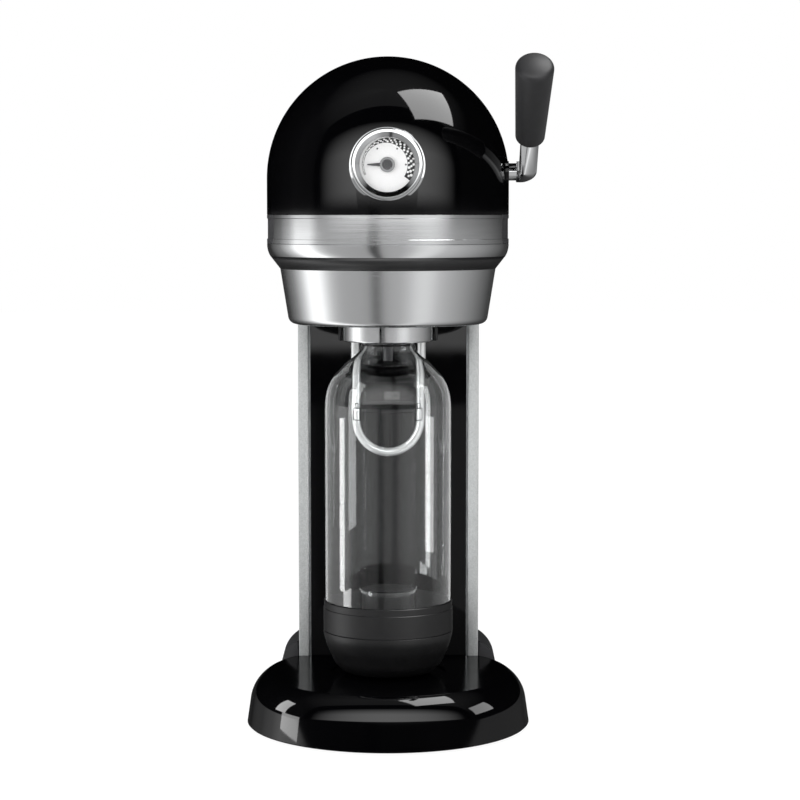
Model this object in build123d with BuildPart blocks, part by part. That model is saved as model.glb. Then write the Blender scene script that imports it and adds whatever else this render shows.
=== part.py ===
from build123d import *
import os
from math import cos, pi, radians, sin, sqrt

# Sparkling water maker. Millimetres, +Z up, the front faces -Y.
# The origin is on the table, under the middle of the bottle.

os.makedirs("parts", exist_ok=True)

# Fits and gaps used all over
seat_gap = 0.3  # between pieces that move, and round a part in its pocket
slip_gap = 0.2  # between fixed pieces that slip together
running_gap = 0.05  # round a shaft or pin that turns or slides in its bore
overrun = 5.0  # how far a cutter reaches past what it cuts

# Round base
base_radius = 92.5
base_draft = 2.4
base_waist_z = 17.5
base_top_z = 34.0
base_lift = 1.4
base_wall = 2.6
shoulder_width = 10.8
deck_thickness = 2.5
deck_ledge = 7.0
bottle_rest_margin = 3.7
bottle_rest_depth = 1.0
base_bottom_round = 0.8

# Underside plate and rubber feet
pad_thickness = 2.0
pad_radius = 9.0
pad_ring_inset = 17.8
pad_angles = (205.0, 270.0, 335.0)
rear_pad_x = 50.0
rear_pad_inset = 32.0
underplate_thickness = 2.5
underplate_gap = 0.8
screw_head_radius = 3.4
screw_shank_radius = 1.6
screw_ring_inset = 11.8
screw_angles = (187.0, 237.5, 302.5, 353.0)
screw_head_depth = 1.2
screw_length = 9.0
slot_share = 0.22
boss_wall = 2.6

# Foot lobe behind the round base
foot_half_width = 73.0
foot_back_y = 138.0
foot_height = 46.0
foot_corner_radius = 50.0
foot_shoulder_radius = 20.0
foot_wall = 3.5
foot_shelf_z = 24.0

# Column
column_front_y = 50.0
column_half_width = 60.8
rail_width = 7.0
rail_depth = 16.0
rail_edge_round = 0.8
panel_side_gap = 1.3
panel_setback = 0.6
panel_thickness = 2.4
panel_bottom_z = 20.0
chassis_wall = 2.0
chassis_depth = 47.0
cover_back_y = 126.0
cover_corner_radius = 45.0
cover_wall = 2.2
vent_count = 5
vent_width = 24.0
vent_height = 3.0
vent_pitch = 8.0
vent_bottom_z = 70.0
button_radius = 9.0
button_z = 268.0
button_proud = 1.2
button_flange = 2.0
button_flange_thickness = 2.0

# Gas cylinder and its seat
cylinder_y = 86.0
cylinder_radius = 30.0
cylinder_foot_radius = 25.0
cylinder_foot_round = 5.0
cylinder_shoulder_z = 308.0
cylinder_neck_radius = 12.5
cylinder_top_z = 345.0
valve_hex_radius = 13.0
valve_hex_height = 10.0
thread_radius = 10.3
thread_length = 17.0
thread_chamfer = 0.5
seat_radius = 16.8
seat_flange_radius = 20.0
seat_flange_thickness = 4.0
seat_boss_radius = 12.0
seat_boss_height = 8.0
bridge_thickness = 4.0
bridge_leg = 3.0
bridge_depth = 44.0
cylinder_hole_gap = 1.5
pipe_radius = 2.2
pipe_bend = 10.0

# Head: round in front, straight sides, round behind
head_radius = 78.0
head_back_y = 58.0
cone_bottom_z = 262.7
cone_top_inset = 8.4
cone_taper = 5.0
cone_round = 4.2
cone_wall = 1.8
cone_lip = 4.0
tray_bottom_z = 298.1
tray_floor = 3.0
tray_rim_inset = 2.0
tray_rim_wall = 2.0
bulge_bottom_z = 306.3
band_bottom_z = 314.2
band_top_z = 332.9
band_thickness = 4.0
band_recess = 0.5
band_top_rib = 2.7
band_bottom_rib = 3.2
band_half_angle = 69.0
band_tip_gap = 0.4
dome_wall_height = 23.0
dome_wall = 2.6
head_floor_thickness = 2.4
sweep_gap = 2.0
ring_swing = 4.5
tray_wall_drop = 2.0

# Lever
shaft_y = -14.0
shaft_z = 360.0
shaft_radius = 5.5
shaft_left_x = -41.0
arm_start_gap = 4.0
arm_gap = 11.3
arm_width = 11.0
arm_chamfer = 1.6
arm_bend_radius = 10.0
arm_inner_round = 1.0
arm_in_grip = 26.0
lever_angle = 41.0
lever_travel = 60.0
grip_start = 31.0
grip_end = 98.0
grip_start_radius = 9.3
grip_end_radius = 12.05
grip_start_round = 3.0
grip_end_round = 4.0
collar_radius = 7.0
collar_length = 9.0
collar_proud = 0.4

# Mechanism inside the head
cheek_x = 33.0
cheek_thickness = 3.0
cheek_front_y = -34.0
cheek_back_y = 14.0
cheek_top_z = 374.0
mechanism_plate = 2.0
bush_wall = 2.5
bush_flange = 2.0
bush_flange_thickness = 1.5
window_front_y = -26.0
window_back_y = -2.0
window_bottom_z = 306.0
window_top_z = 338.0
cam_radius = 10.0
cam_width = 9.0
cam_gap = 0.45
cam_rise_before = 40.0
cam_rise_after = 75.0
pin_travel = 3.0
pin_radius = 3.0
pin_collar_radius = 6.5
pin_collar_thickness = 2.0
pin_collar_drop = 6.0
push_spring_wall = 1.4
gas_valve_radius = 14.0
gas_valve_height = 19.0
pin_bore_depth = 9.0
return_spring_wall = 2.4
return_spring_length = 10.0
return_spring_gap = 0.8
relief_radius = 4.0
relief_length = 9.0
relief_chamfer = 1.0
tube_radius = 2.0
tube_bend = 4.0
tube_x = 47.0

# Bottle holder
hinge_y = 32.0
hinge_z = 272.0
hinge_pin_radius = 3.0
hinge_pin_grip = 6.0
holder_ring_radius = 32.5
holder_ring_wall = 1.9
ring_front_y = 3.0
holder_half_width = 36.0
holder_back_y = 47.5
holder_front_y = 14.0
holder_plate_z = 269.0
holder_top_z = 280.0
collar_bottom_z = 251.0
jaw_inset = 3.3
collar_top_z = 264.2
collar_edge_round = 1.4
jaw_slit_x = -4.6
jaw_slit = 1.4
jaw_pin_radius = 1.5
jaw_pin_y = 24.5
jaw_pin_offset = 3.9
ear_thickness = 3.0
ear_depth = 16.0
ear_below_pin = 4.7
seal_thickness = 2.7
nozzle_radius = 3.0
nozzle_bore = 1.0
nozzle_flange_radius = 8.0
nozzle_flange_thickness = 3.0
nozzle_end_z = 238.0
bow_half_width = 25.0
bow_bar_radius = 2.85
bow_arc_z = 196.0

# Bottle and its foot cup
bottle_radius = 41.2
bottle_wall = 1.2
bottle_shoulder_z = 205.7
bottle_top_z = 270.0
thread_neck_radius = 13.4
neck_flange_reach = 3.4
neck_flange_top_z = 260.6
neck_flange_thickness = 3.0
neck_groove_reach = 0.8
neck_base_z = 250.4
neck_root_reach = 2.8
neck_root_drop = 1.1
neck_root_flare = 1.1
neck_root_height = 3.7
cup_overhang = 1.1
cup_rim_z = 81.8
cup_seam_z = 62.4
cup_bottom_z = 35.0
cup_bottom_inset = 14.2
cup_wall = 2.2
cup_rim_round = 0.25
bottle_bottom_z = 41.0
punt_radius = 17.5
punt_top_z = 89.5
shoulder_shares = ((0.134, 0.093), (0.36, 0.2), (0.62, 0.36), (0.8, 0.475), (0.955, 0.7))
neck_flare_shares = (0.45, -1.0)
bowl_shares = ((0.46, 0.17), (0.69, 0.41), (0.865, 0.65))

# Gauge on the front of the dome
gauge_z = 363.3
bezel_radius = 22.0
bezel_opening = 16.8
bezel_slope = 3.0
bezel_land = 0.4
bezel_barrel = 21.3
bezel_flange_radius = 23.5
bezel_flange = 0.8
bezel_proud = 4.2
bezel_depth = 8.0
gauge_inner_radius = 19.2
glass_thickness = 1.2
glass_inset = 2.2
dial_setback = 1.4
dial_thickness = 1.0
housing_depth = 12.4
housing_wall = 1.5
needle_length = 12.2
needle_root_half = 1.5
needle_tip_half = 0.35
needle_hub_radius = 4.6
needle_thickness = 0.8
needle_arbor_radius = 1.0
needle_lift = 0.5

# Places worked out from the sizes above
base_waist_radius = base_radius - base_draft
deck_radius = base_waist_radius - shoulder_width
pad_ring_radius = base_radius - pad_ring_inset
screw_ring_radius = base_radius - screw_ring_inset
bottle_rest_radius = bottle_radius - bottle_rest_margin
cone_top_radius = head_radius - cone_top_inset
cone_bottom_radius = cone_top_radius - cone_taper
tray_rim_radius = head_radius - tray_rim_inset
band_inner_radius = head_radius - band_thickness
dome_spring_z = band_top_z + dome_wall_height
arm_start_x = head_radius + arm_start_gap
arm_x = head_radius + arm_gap
cup_radius = bottle_radius + cup_overhang
cup_bottom_radius = bottle_radius - cup_bottom_inset
collar_outer_radius = holder_ring_radius - jaw_inset
neck_flange_radius = thread_neck_radius + neck_flange_reach
neck_groove_radius = thread_neck_radius + neck_groove_reach
neck_root_radius = neck_groove_radius + neck_root_reach
neck_root_z = neck_base_z - neck_root_drop
shoulder_top_radius = neck_root_radius + neck_root_flare
shoulder_top_z = neck_root_z - neck_root_height
underplate_top_z = pad_thickness + underplate_thickness
base_split_y = column_front_y - slip_gap
deck_bottom_z = base_top_z - deck_thickness
rail_back_y = column_front_y + rail_depth
rail_inner_x = column_half_width - rail_width
panel_front_y = column_front_y + panel_setback
panel_back_y = panel_front_y + panel_thickness
chassis_back_y = panel_back_y + chassis_depth
cover_front_y = rail_back_y + seat_gap
dome_inner_radius = head_radius - dome_wall
tray_top_z = tray_bottom_z + tray_floor
mechanism_top_z = tray_top_z + mechanism_plate
shaft_direction = Vector(0, -cos(radians(lever_angle)), sin(radians(lever_angle)))
hinge_ear_x = holder_half_width + seat_gap
cone_lip_radius = cone_bottom_radius - cone_round
gauge_y = -sqrt(head_radius**2 - (gauge_z - dome_spring_z) ** 2)
front_axis = Axis((0, 0, 0), (0, 0, -1))
bow_center_x = bow_half_width - bow_bar_radius
bow_y = bottle_radius + slip_gap * 2 + bow_bar_radius


def outline(points, plane):
    """Closed straight-sided face through the points, drawn on the plane."""
    with BuildSketch(plane) as drawn:
        with BuildLine():
            Polyline(*points, close=True)
        make_face()
    return drawn.sketch


def stadium(face):
    """Solid with the face as its side wall: round in front and behind, straight between."""
    back_plane = Plane.XZ.offset(-head_back_y)
    back_face = back_plane.from_local_coords(Plane.XZ.to_local_coords(face))
    with BuildPart() as body:
        revolve(face, axis=front_axis, revolution_arc=180)
        extrude(face, amount=-head_back_y)
        extrude(mirror(face, about=Plane.YZ, mode=Mode.PRIVATE), amount=-head_back_y)
        revolve(back_face, axis=Axis((0, head_back_y, 0), (0, 0, 1)), revolution_arc=180)
    return body.part


def turned(points, center_y=0):
    """Solid of revolution about the vertical line at center_y, from (radius, height) points."""
    with BuildPart() as body:
        revolve(outline(points, Plane.XZ.offset(-center_y)), axis=Axis((0, center_y, 0), (0, 0, 1)))
    return body.part


def tube_along(points, bend, radius):
    """Round rod along straight runs joined by bends."""
    with BuildPart() as rod:
        with BuildLine() as route:
            FilletPolyline(*points, radius=bend)
        with BuildSketch(Plane(origin=route.line @ 0, z_dir=route.line % 0)):
            Circle(radius)
        sweep()
    return rod.part


def around(radius, angles):
    """Points at the angles on a circle about the bottle's axis."""
    return [(radius * cos(radians(angle)), radius * sin(radians(angle))) for angle in angles]


def cut_behind(y):
    """Plane that keeps what lies in front of y."""
    return Plane(origin=(0, y, 0), z_dir=(0, 1, 0))


# Base shell: cast ring with a rounded shoulder and a ledge for the deck
with BuildPart() as base_shell:
    with BuildSketch(Plane.XZ):
        with BuildLine():
            wall = Line((base_radius, base_lift), (base_waist_radius, base_waist_z))
            TangentArc(wall @ 1, (deck_radius, base_top_z), tangent=wall % 1)
            Polyline(
                (deck_radius, base_top_z),
                (deck_radius, deck_bottom_z),
                (deck_radius - deck_ledge, deck_bottom_z),
                (deck_radius - deck_ledge, deck_bottom_z - base_wall),
                (deck_radius, deck_bottom_z - base_wall),
                (base_waist_radius - base_wall, base_waist_z),
                (base_radius - base_wall, base_lift),
                (base_radius, base_lift),
            )
        make_face()
    revolve(axis=Axis.Z)
    rim = base_shell.edges().filter_by(GeomType.CIRCLE).group_by(Axis.Z)[0].sort_by(SortBy.RADIUS)[-1]
    fillet(rim, radius=base_bottom_round)
    split(bisect_by=cut_behind(base_split_y), keep=Keep.BOTTOM)
    with BuildSketch(Plane.XY.offset(underplate_top_z)):
        with Locations(*around(screw_ring_radius, screw_angles)):
            Circle(screw_shank_radius + boss_wall)
    extrude(amount=deck_bottom_z - base_wall - underplate_top_z)
    with BuildSketch(Plane.XY.offset(underplate_top_z)):
        with Locations(*around(screw_ring_radius, screw_angles)):
            Circle(screw_shank_radius)
    extrude(amount=screw_length, mode=Mode.SUBTRACT)
base_shell.part.label = "base_shell"
export_step(base_shell.part, "parts/base_shell.step")

# Deck: mirror-gloss plate with a shallow round rest for the bottle
with BuildPart() as deck_plate:
    with BuildSketch(Plane.XY.offset(deck_bottom_z)):
        Circle(deck_radius - slip_gap)
    extrude(amount=deck_thickness)
    with BuildSketch(Plane.XY.offset(base_top_z)):
        Circle(bottle_rest_radius)
    extrude(amount=-bottle_rest_depth, mode=Mode.SUBTRACT)
    split(bisect_by=cut_behind(base_split_y), keep=Keep.BOTTOM)
deck_plate.part.label = "deck_plate"
export_step(deck_plate.part, "parts/deck_plate.step")

# Outline of the foot lobe, drawn in from its edge by an inset
foot_front_y = column_front_y + slip_gap


def foot_outline(height, inset):
    """Foot lobe's plan at a height: square corners in front, round ones behind."""
    width = 2 * (foot_half_width - inset)
    depth = foot_back_y - inset - foot_front_y
    with BuildSketch(Plane.XY.offset(height)) as plan:
        with Locations((0, foot_front_y + depth / 2)):
            Rectangle(width, depth)
        fillet(plan.vertices().group_by(Axis.Y)[-1], radius=foot_corner_radius - inset)
    return plan.sketch


def tower_outline(height, inset):
    """Rear cover's plan at a height: straight sides and round rear corners."""
    width = 2 * (column_half_width - inset)
    depth = cover_back_y - inset - cover_front_y
    with BuildSketch(Plane.XY.offset(height)) as plan:
        with Locations((0, cover_front_y + depth / 2)):
            Rectangle(width, depth)
        fillet(plan.vertices().group_by(Axis.Y)[-1], radius=cover_corner_radius - inset)
    return plan.sketch


# Foot lobe: moulded housing round the column's lower end
foot_shell = foot_outline(base_lift, 0)
foot_hollow = foot_outline(base_lift, foot_wall)
tower_plinth = tower_outline(foot_shelf_z, 0)
with BuildPart() as rear_foot:
    extrude(foot_shell, amount=foot_height - base_lift)
    top_edges = rear_foot.faces().sort_by(Axis.Z)[-1].edges().sort_by(Axis.Y)[1:]
    fillet(top_edges, radius=foot_shoulder_radius)
    extrude(tower_plinth, amount=foot_height - foot_shelf_z)
    extrude(foot_hollow, amount=foot_shelf_z - base_lift, mode=Mode.SUBTRACT)
    with BuildSketch(Plane.XY.offset(base_lift)):
        with Locations((0, (foot_front_y + rail_back_y) / 2 + slip_gap)):
            Rectangle(2 * (column_half_width + slip_gap), rail_back_y - foot_front_y + 2 * slip_gap)
        with Locations((0, (foot_front_y + chassis_back_y + slip_gap) / 2)):
            Rectangle(2 * (rail_inner_x + slip_gap), chassis_back_y + slip_gap - foot_front_y)
        with Locations((0, cylinder_y)):
            Circle(cylinder_radius + cylinder_hole_gap)
    extrude(amount=foot_height, mode=Mode.SUBTRACT)
rear_foot.part.label = "rear_foot"
export_step(rear_foot.part, "parts/rear_foot.step")

# Underside plate with counterbored screw holes
underplate_radius = base_radius - base_wall - underplate_gap
underplate_tail = foot_outline(pad_thickness, foot_wall + slip_gap)
with BuildPart() as base_underside:
    with BuildSketch(Plane.XY.offset(pad_thickness)):
        Circle(underplate_radius)
    extrude(amount=underplate_thickness)
    split(bisect_by=cut_behind(foot_front_y), keep=Keep.BOTTOM)
    extrude(underplate_tail, amount=underplate_thickness)
    with BuildSketch(Plane.XY.offset(pad_thickness)):
        with Locations(*around(screw_ring_radius, screw_angles)):
            Circle(screw_head_radius + slip_gap)
    extrude(amount=screw_head_depth + slip_gap, mode=Mode.SUBTRACT)
    with BuildSketch(Plane.XY.offset(pad_thickness)):
        with Locations(*around(screw_ring_radius, screw_angles)):
            Circle(screw_shank_radius + slip_gap)
    extrude(amount=underplate_thickness, mode=Mode.SUBTRACT)
base_underside.part.label = "base_underside"
export_step(base_underside.part, "parts/base_underside.step")

# Rubber feet: three near the rim, two under the lobe and one in the middle
rear_pad_y = foot_back_y - rear_pad_inset
with BuildPart() as rubber_feet:
    with BuildSketch(Plane.XY):
        Circle(pad_radius)
        with Locations(*around(pad_ring_radius, pad_angles)):
            Circle(pad_radius)
        with Locations((rear_pad_x, rear_pad_y), (-rear_pad_x, rear_pad_y)):
            Circle(pad_radius)
    extrude(amount=pad_thickness)
rubber_feet.part.label = "rubber_feet"
export_step(rubber_feet.part, "parts/rubber_feet.step")

# Screws that hold the plate to the base's bosses
with BuildPart() as base_screws:
    with BuildSketch(Plane.XY.offset(pad_thickness + slip_gap)):
        with Locations(*around(screw_ring_radius, screw_angles)):
            Circle(screw_head_radius)
    extrude(amount=screw_head_depth)
    with BuildSketch(Plane.XY.offset(pad_thickness + slip_gap)):
        with Locations(*around(screw_ring_radius, screw_angles)):
            Circle(screw_shank_radius)
    extrude(amount=screw_length)
    with BuildSketch(Plane.XY.offset(pad_thickness + slip_gap)):
        with Locations(*around(screw_ring_radius, screw_angles)):
            Rectangle(screw_head_radius, screw_head_radius * slot_share)
            Rectangle(screw_head_radius * slot_share, screw_head_radius)
    extrude(amount=screw_head_depth / 2, mode=Mode.SUBTRACT)
base_screws.part.label = "base_screws"
export_step(base_screws.part, "parts/base_screws.step")

# Side rails: satin aluminium strips at the column's front corners
rail_center_y = (column_front_y + rail_back_y) / 2
for side, name in ((-1, "side_rail_left"), (1, "side_rail_right")):
    with BuildPart() as rail:
        with BuildSketch(Plane.XY.offset(underplate_top_z)):
            with Locations((side * (rail_inner_x + rail_width / 2), rail_center_y)):
                RectangleRounded(rail_width, rail_depth, rail_edge_round)
        extrude(amount=tray_bottom_z - underplate_top_z)
    rail.part.label = name
    export_step(rail.part, f"parts/{name}.step")

# Front panel of the column: gloss plate between the rails
panel_half_width = rail_inner_x - panel_side_gap
with BuildPart() as column_front_panel:
    with BuildSketch(Plane.XY.offset(panel_bottom_z)):
        with Locations((0, (panel_front_y + panel_back_y) / 2)):
            Rectangle(2 * panel_half_width, panel_thickness)
    extrude(amount=tray_bottom_z - seat_gap - panel_bottom_z)
column_front_panel.part.label = "column_front_panel"
export_step(column_front_panel.part, "parts/column_front_panel.step")

# Chassis: folded steel channel that carries the head
with BuildPart() as column_chassis:
    with BuildSketch(Plane.XY.offset(underplate_top_z)):
        with Locations((0, (panel_back_y + chassis_back_y) / 2)):
            Rectangle(2 * rail_inner_x, chassis_depth)
        with Locations((0, (panel_back_y + chassis_back_y) / 2 + chassis_wall)):
            Rectangle(2 * (rail_inner_x - chassis_wall), chassis_depth, mode=Mode.SUBTRACT)
    extrude(amount=tray_bottom_z - underplate_top_z)
column_chassis.part.label = "column_chassis"
export_step(column_chassis.part, "parts/column_chassis.step")

# Rear cover: lifts off to reach the gas cylinder
cover_bottom_z = foot_height + seat_gap
cover_height = tray_bottom_z - seat_gap - cover_bottom_z
cover_outer = tower_outline(cover_bottom_z, 0)
cover_inner = tower_outline(cover_bottom_z, cover_wall)
rear_plane = Plane(origin=(0, cover_back_y, 0), x_dir=(-1, 0, 0), z_dir=(0, 1, 0))
with BuildPart() as rear_cover:
    extrude(cover_outer, amount=cover_height)
    extrude(cover_inner, amount=cover_height, mode=Mode.SUBTRACT)
    with BuildSketch(Plane.XY.offset(cover_bottom_z)):
        with Locations((0, cover_front_y + cover_wall / 2)):
            Rectangle(2 * (column_half_width - cover_wall), cover_wall * 2)
    extrude(amount=cover_height, mode=Mode.SUBTRACT)
    with BuildSketch(rear_plane):
        for row in range(vent_count):
            with Locations((0, vent_bottom_z + row * vent_pitch)):
                SlotOverall(vent_width, vent_height)
        with Locations((0, button_z)):
            Circle(button_radius + slip_gap)
    extrude(amount=-2 * cover_wall, mode=Mode.SUBTRACT)
rear_cover.part.label = "rear_cover"
export_step(rear_cover.part, "parts/rear_cover.step")

# Release button of the rear cover, with a flange behind the wall
with BuildPart() as cover_button:
    with BuildSketch(rear_plane.offset(button_proud)):
        with Locations((0, button_z)):
            Circle(button_radius)
    extrude(amount=-(button_proud + cover_wall + seat_gap))
    fillet(cover_button.faces().sort_by(Axis.Y)[-1].edges(), radius=button_proud / 2)
    with BuildSketch(rear_plane.offset(-cover_wall - seat_gap)):
        with Locations((0, button_z)):
            Circle(button_radius + button_flange)
    extrude(amount=-button_flange_thickness)
cover_button.part.label = "cover_button"
export_step(cover_button.part, "parts/cover_button.step")

# Gas cylinder: standard 60 mm steel bottle, screwed up into the head
cylinder_bottom_z = underplate_top_z + seat_gap
with BuildPart() as gas_cylinder:
    with BuildSketch(Plane.XZ.offset(-cylinder_y)):
        with BuildLine():
            Polyline(
                (0, cylinder_top_z),
                (0, cylinder_bottom_z),
                (cylinder_foot_radius, cylinder_bottom_z),
                (cylinder_radius, cylinder_bottom_z + cylinder_foot_round),
                (cylinder_radius, cylinder_shoulder_z),
            )
            shoulder_radius = cylinder_radius - cylinder_neck_radius
            shoulder = CenterArc((cylinder_neck_radius, cylinder_shoulder_z), shoulder_radius, 0, 90)
            Polyline(shoulder @ 1, (cylinder_neck_radius, cylinder_top_z), (0, cylinder_top_z))
        make_face()
    revolve(axis=Axis((0, cylinder_y, 0), (0, 0, 1)))
gas_cylinder.part.label = "gas_cylinder"
export_step(gas_cylinder.part, "parts/gas_cylinder.step")

# Cylinder valve: hexagon and threaded stem
thread_bottom_z = cylinder_top_z + valve_hex_height
with BuildPart() as cylinder_valve:
    with BuildSketch(Plane.XY.offset(cylinder_top_z)):
        with Locations((0, cylinder_y)):
            RegularPolygon(valve_hex_radius, 6)
    extrude(amount=valve_hex_height)
    with BuildSketch(Plane.XY.offset(thread_bottom_z)):
        with Locations((0, cylinder_y)):
            Circle(thread_radius)
    extrude(amount=thread_length)
    chamfer(cylinder_valve.faces().sort_by(Axis.Z)[-1].edges(), length=thread_chamfer)
cylinder_valve.part.label = "cylinder_valve"
export_step(cylinder_valve.part, "parts/cylinder_valve.step")

# Seat that the cylinder screws into, hung in its bridge
seat_bottom_z = thread_bottom_z + seat_gap
thread_top_z = thread_bottom_z + thread_length
bridge_top_z = thread_top_z + bridge_thickness
seat_flange_z = bridge_top_z + seat_flange_thickness
seat_top_z = seat_flange_z + seat_boss_height
seat_shape = turned(
    [
        (thread_radius + running_gap, seat_bottom_z),
        (seat_radius, seat_bottom_z),
        (seat_radius, bridge_top_z),
        (seat_flange_radius, bridge_top_z),
        (seat_flange_radius, seat_flange_z),
        (seat_boss_radius, seat_flange_z),
        (seat_boss_radius, seat_top_z),
        (0, seat_top_z),
        (0, thread_top_z + seat_gap),
        (thread_radius + running_gap, thread_top_z + seat_gap),
    ],
    cylinder_y,
)
with BuildPart() as cylinder_seat:
    add(seat_shape)
cylinder_seat.part.label = "cylinder_seat"
export_step(cylinder_seat.part, "parts/cylinder_seat.step")

# Bridge: stands on the head tray and holds the seat
bridge_half_width = cylinder_radius + cylinder_hole_gap * 2 + bridge_leg
with BuildPart() as seat_bridge:
    with BuildSketch(Plane.XZ.offset(-(cylinder_y + bridge_depth / 2))):
        with BuildLine():
            Polyline(
                (-bridge_half_width, tray_top_z),
                (-bridge_half_width, bridge_top_z),
                (bridge_half_width, bridge_top_z),
                (bridge_half_width, tray_top_z),
                (bridge_half_width - bridge_leg, tray_top_z),
                (bridge_half_width - bridge_leg, bridge_top_z - bridge_thickness),
                (bridge_leg - bridge_half_width, bridge_top_z - bridge_thickness),
                (bridge_leg - bridge_half_width, tray_top_z),
                close=True,
            )
        make_face()
    extrude(amount=bridge_depth)
    with BuildSketch(Plane.XY.offset(bridge_top_z)):
        with Locations((0, cylinder_y)):
            Circle(seat_radius)
    extrude(amount=-2 * bridge_thickness, mode=Mode.SUBTRACT)
seat_bridge.part.label = "seat_bridge"
export_step(seat_bridge.part, "parts/seat_bridge.step")

# Head tray: floor of the head with a sloped rim and an upright wall for the bands
tray_wall_radius = band_inner_radius - slip_gap
tray_face = outline(
    [
        (0, tray_bottom_z),
        (cone_top_radius, tray_bottom_z),
        (tray_rim_radius, bulge_bottom_z),
        (tray_wall_radius, bulge_bottom_z),
        (tray_wall_radius, band_top_z - tray_wall_drop),
        (tray_wall_radius - tray_rim_wall, band_top_z - tray_wall_drop),
        (tray_wall_radius - tray_rim_wall, bulge_bottom_z - tray_floor),
        (cone_top_radius - tray_floor, tray_top_z),
        (0, tray_top_z),
    ],
    Plane.XZ,
)
tray_body = stadium(tray_face)
with BuildPart() as head_tray:
    add(tray_body)
    with BuildSketch(Plane.XY.offset(tray_bottom_z)):
        with Locations((0, cylinder_y)):
            Circle(cylinder_radius + cylinder_hole_gap)
        with Locations((tube_x, hinge_y)):
            Circle(tube_radius + seat_gap)
    extrude(amount=tray_floor, mode=Mode.SUBTRACT)
head_tray.part.label = "head_tray"
export_step(head_tray.part, "parts/head_tray.step")

# Bulge ring: bright ring under the trim band
with BuildSketch(Plane.XZ) as bulge_face:
    with BuildLine():
        bulge_side = Line((head_radius, band_bottom_z), (head_radius, band_bottom_z - band_recess))
        TangentArc(bulge_side @ 1, (tray_rim_radius, bulge_bottom_z), tangent=(0, -1))
        Polyline(
            (tray_rim_radius, bulge_bottom_z),
            (band_inner_radius, bulge_bottom_z),
            (band_inner_radius, band_bottom_z),
            (head_radius, band_bottom_z),
        )
    make_face()
bulge_body = stadium(bulge_face.sketch)
with BuildPart() as bulge_ring:
    add(bulge_body)
bulge_ring.part.label = "bulge_ring"
export_step(bulge_ring.part, "parts/bulge_ring.step")

# Trim band: bright front piece between dark side and rear pieces
band_face = outline(
    [
        (band_inner_radius, band_bottom_z),
        (head_radius, band_bottom_z),
        (head_radius, band_bottom_z + band_bottom_rib),
        (head_radius - band_recess, band_bottom_z + band_bottom_rib),
        (head_radius - band_recess, band_top_z - band_top_rib),
        (head_radius, band_top_z - band_top_rib),
        (head_radius, band_top_z),
        (band_inner_radius, band_top_z),
    ],
    Plane.XZ,
)
band_body = stadium(band_face)
band_height = band_top_z - band_bottom_z
band_reach = 2 * head_radius


def front_wedge(gap):
    """Plan of the wedge that the front band fills, drawn in by a gap at each end."""
    half = radians(band_half_angle) - gap / head_radius
    side = (band_reach * sin(half), -band_reach * cos(half))
    return outline(
        [(0, 0), side, (band_reach, -band_reach), (-band_reach, -band_reach), (-side[0], side[1])],
        Plane.XY.offset(band_bottom_z),
    )


front_cutter = front_wedge(band_tip_gap)
rear_cutter = front_wedge(0)
with BuildPart() as trim_band_front:
    extrude(front_cutter, amount=band_height)
    add(band_body, mode=Mode.INTERSECT)
trim_band_front.part.label = "trim_band_front"
export_step(trim_band_front.part, "parts/trim_band_front.step")

with BuildPart() as trim_band_rear:
    add(band_body)
    extrude(rear_cutter, amount=band_height, mode=Mode.SUBTRACT)
trim_band_rear.part.label = "trim_band_rear"
export_step(trim_band_rear.part, "parts/trim_band_rear.step")

# Cone: brushed skirt round the bottle holder, open behind where the column passes
with BuildPart() as steel_cone:
    with BuildSketch(Plane.XZ):
        with BuildLine():
            round_start = (cone_bottom_radius, cone_bottom_z + cone_round)
            cone_side = Line((cone_top_radius, tray_bottom_z), round_start)
            TangentArc(cone_side @ 1, (cone_lip_radius, cone_bottom_z), tangent=cone_side % 1)
            Polyline(
                (cone_lip_radius, cone_bottom_z),
                (cone_lip_radius - cone_lip, cone_bottom_z),
                (cone_lip_radius - cone_lip, cone_bottom_z + cone_wall),
                (cone_lip_radius, cone_bottom_z + cone_wall),
                (cone_bottom_radius - cone_wall, cone_bottom_z + cone_round),
                (cone_top_radius - cone_wall, tray_bottom_z),
                (cone_top_radius, tray_bottom_z),
            )
        make_face()
    revolve(axis=Axis.Z)
    split(bisect_by=cut_behind(base_split_y), keep=Keep.BOTTOM)
steel_cone.part.label = "steel_cone"
export_step(steel_cone.part, "parts/steel_cone.step")

# Head floor: closes the cone's mouth round the swinging holder
floor_bottom_z = cone_bottom_z + cone_wall
floor_radius = cone_lip_radius - slip_gap
with BuildPart() as head_floor:
    with BuildSketch(Plane.XY.offset(floor_bottom_z)):
        Circle(floor_radius)
    extrude(amount=head_floor_thickness)
    with BuildSketch(Plane.XY.offset(floor_bottom_z)):
        with Locations((0, 0), (0, -ring_swing)):
            Circle(holder_ring_radius + sweep_gap)
        with Locations((0, (hinge_y + base_split_y) / 2)):
            Rectangle(2 * (holder_half_width + sweep_gap), base_split_y - hinge_y + 2 * sweep_gap)
    extrude(amount=head_floor_thickness, mode=Mode.SUBTRACT)
    split(bisect_by=cut_behind(base_split_y), keep=Keep.BOTTOM)
head_floor.part.label = "head_floor"
export_step(head_floor.part, "parts/head_floor.step")

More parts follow.
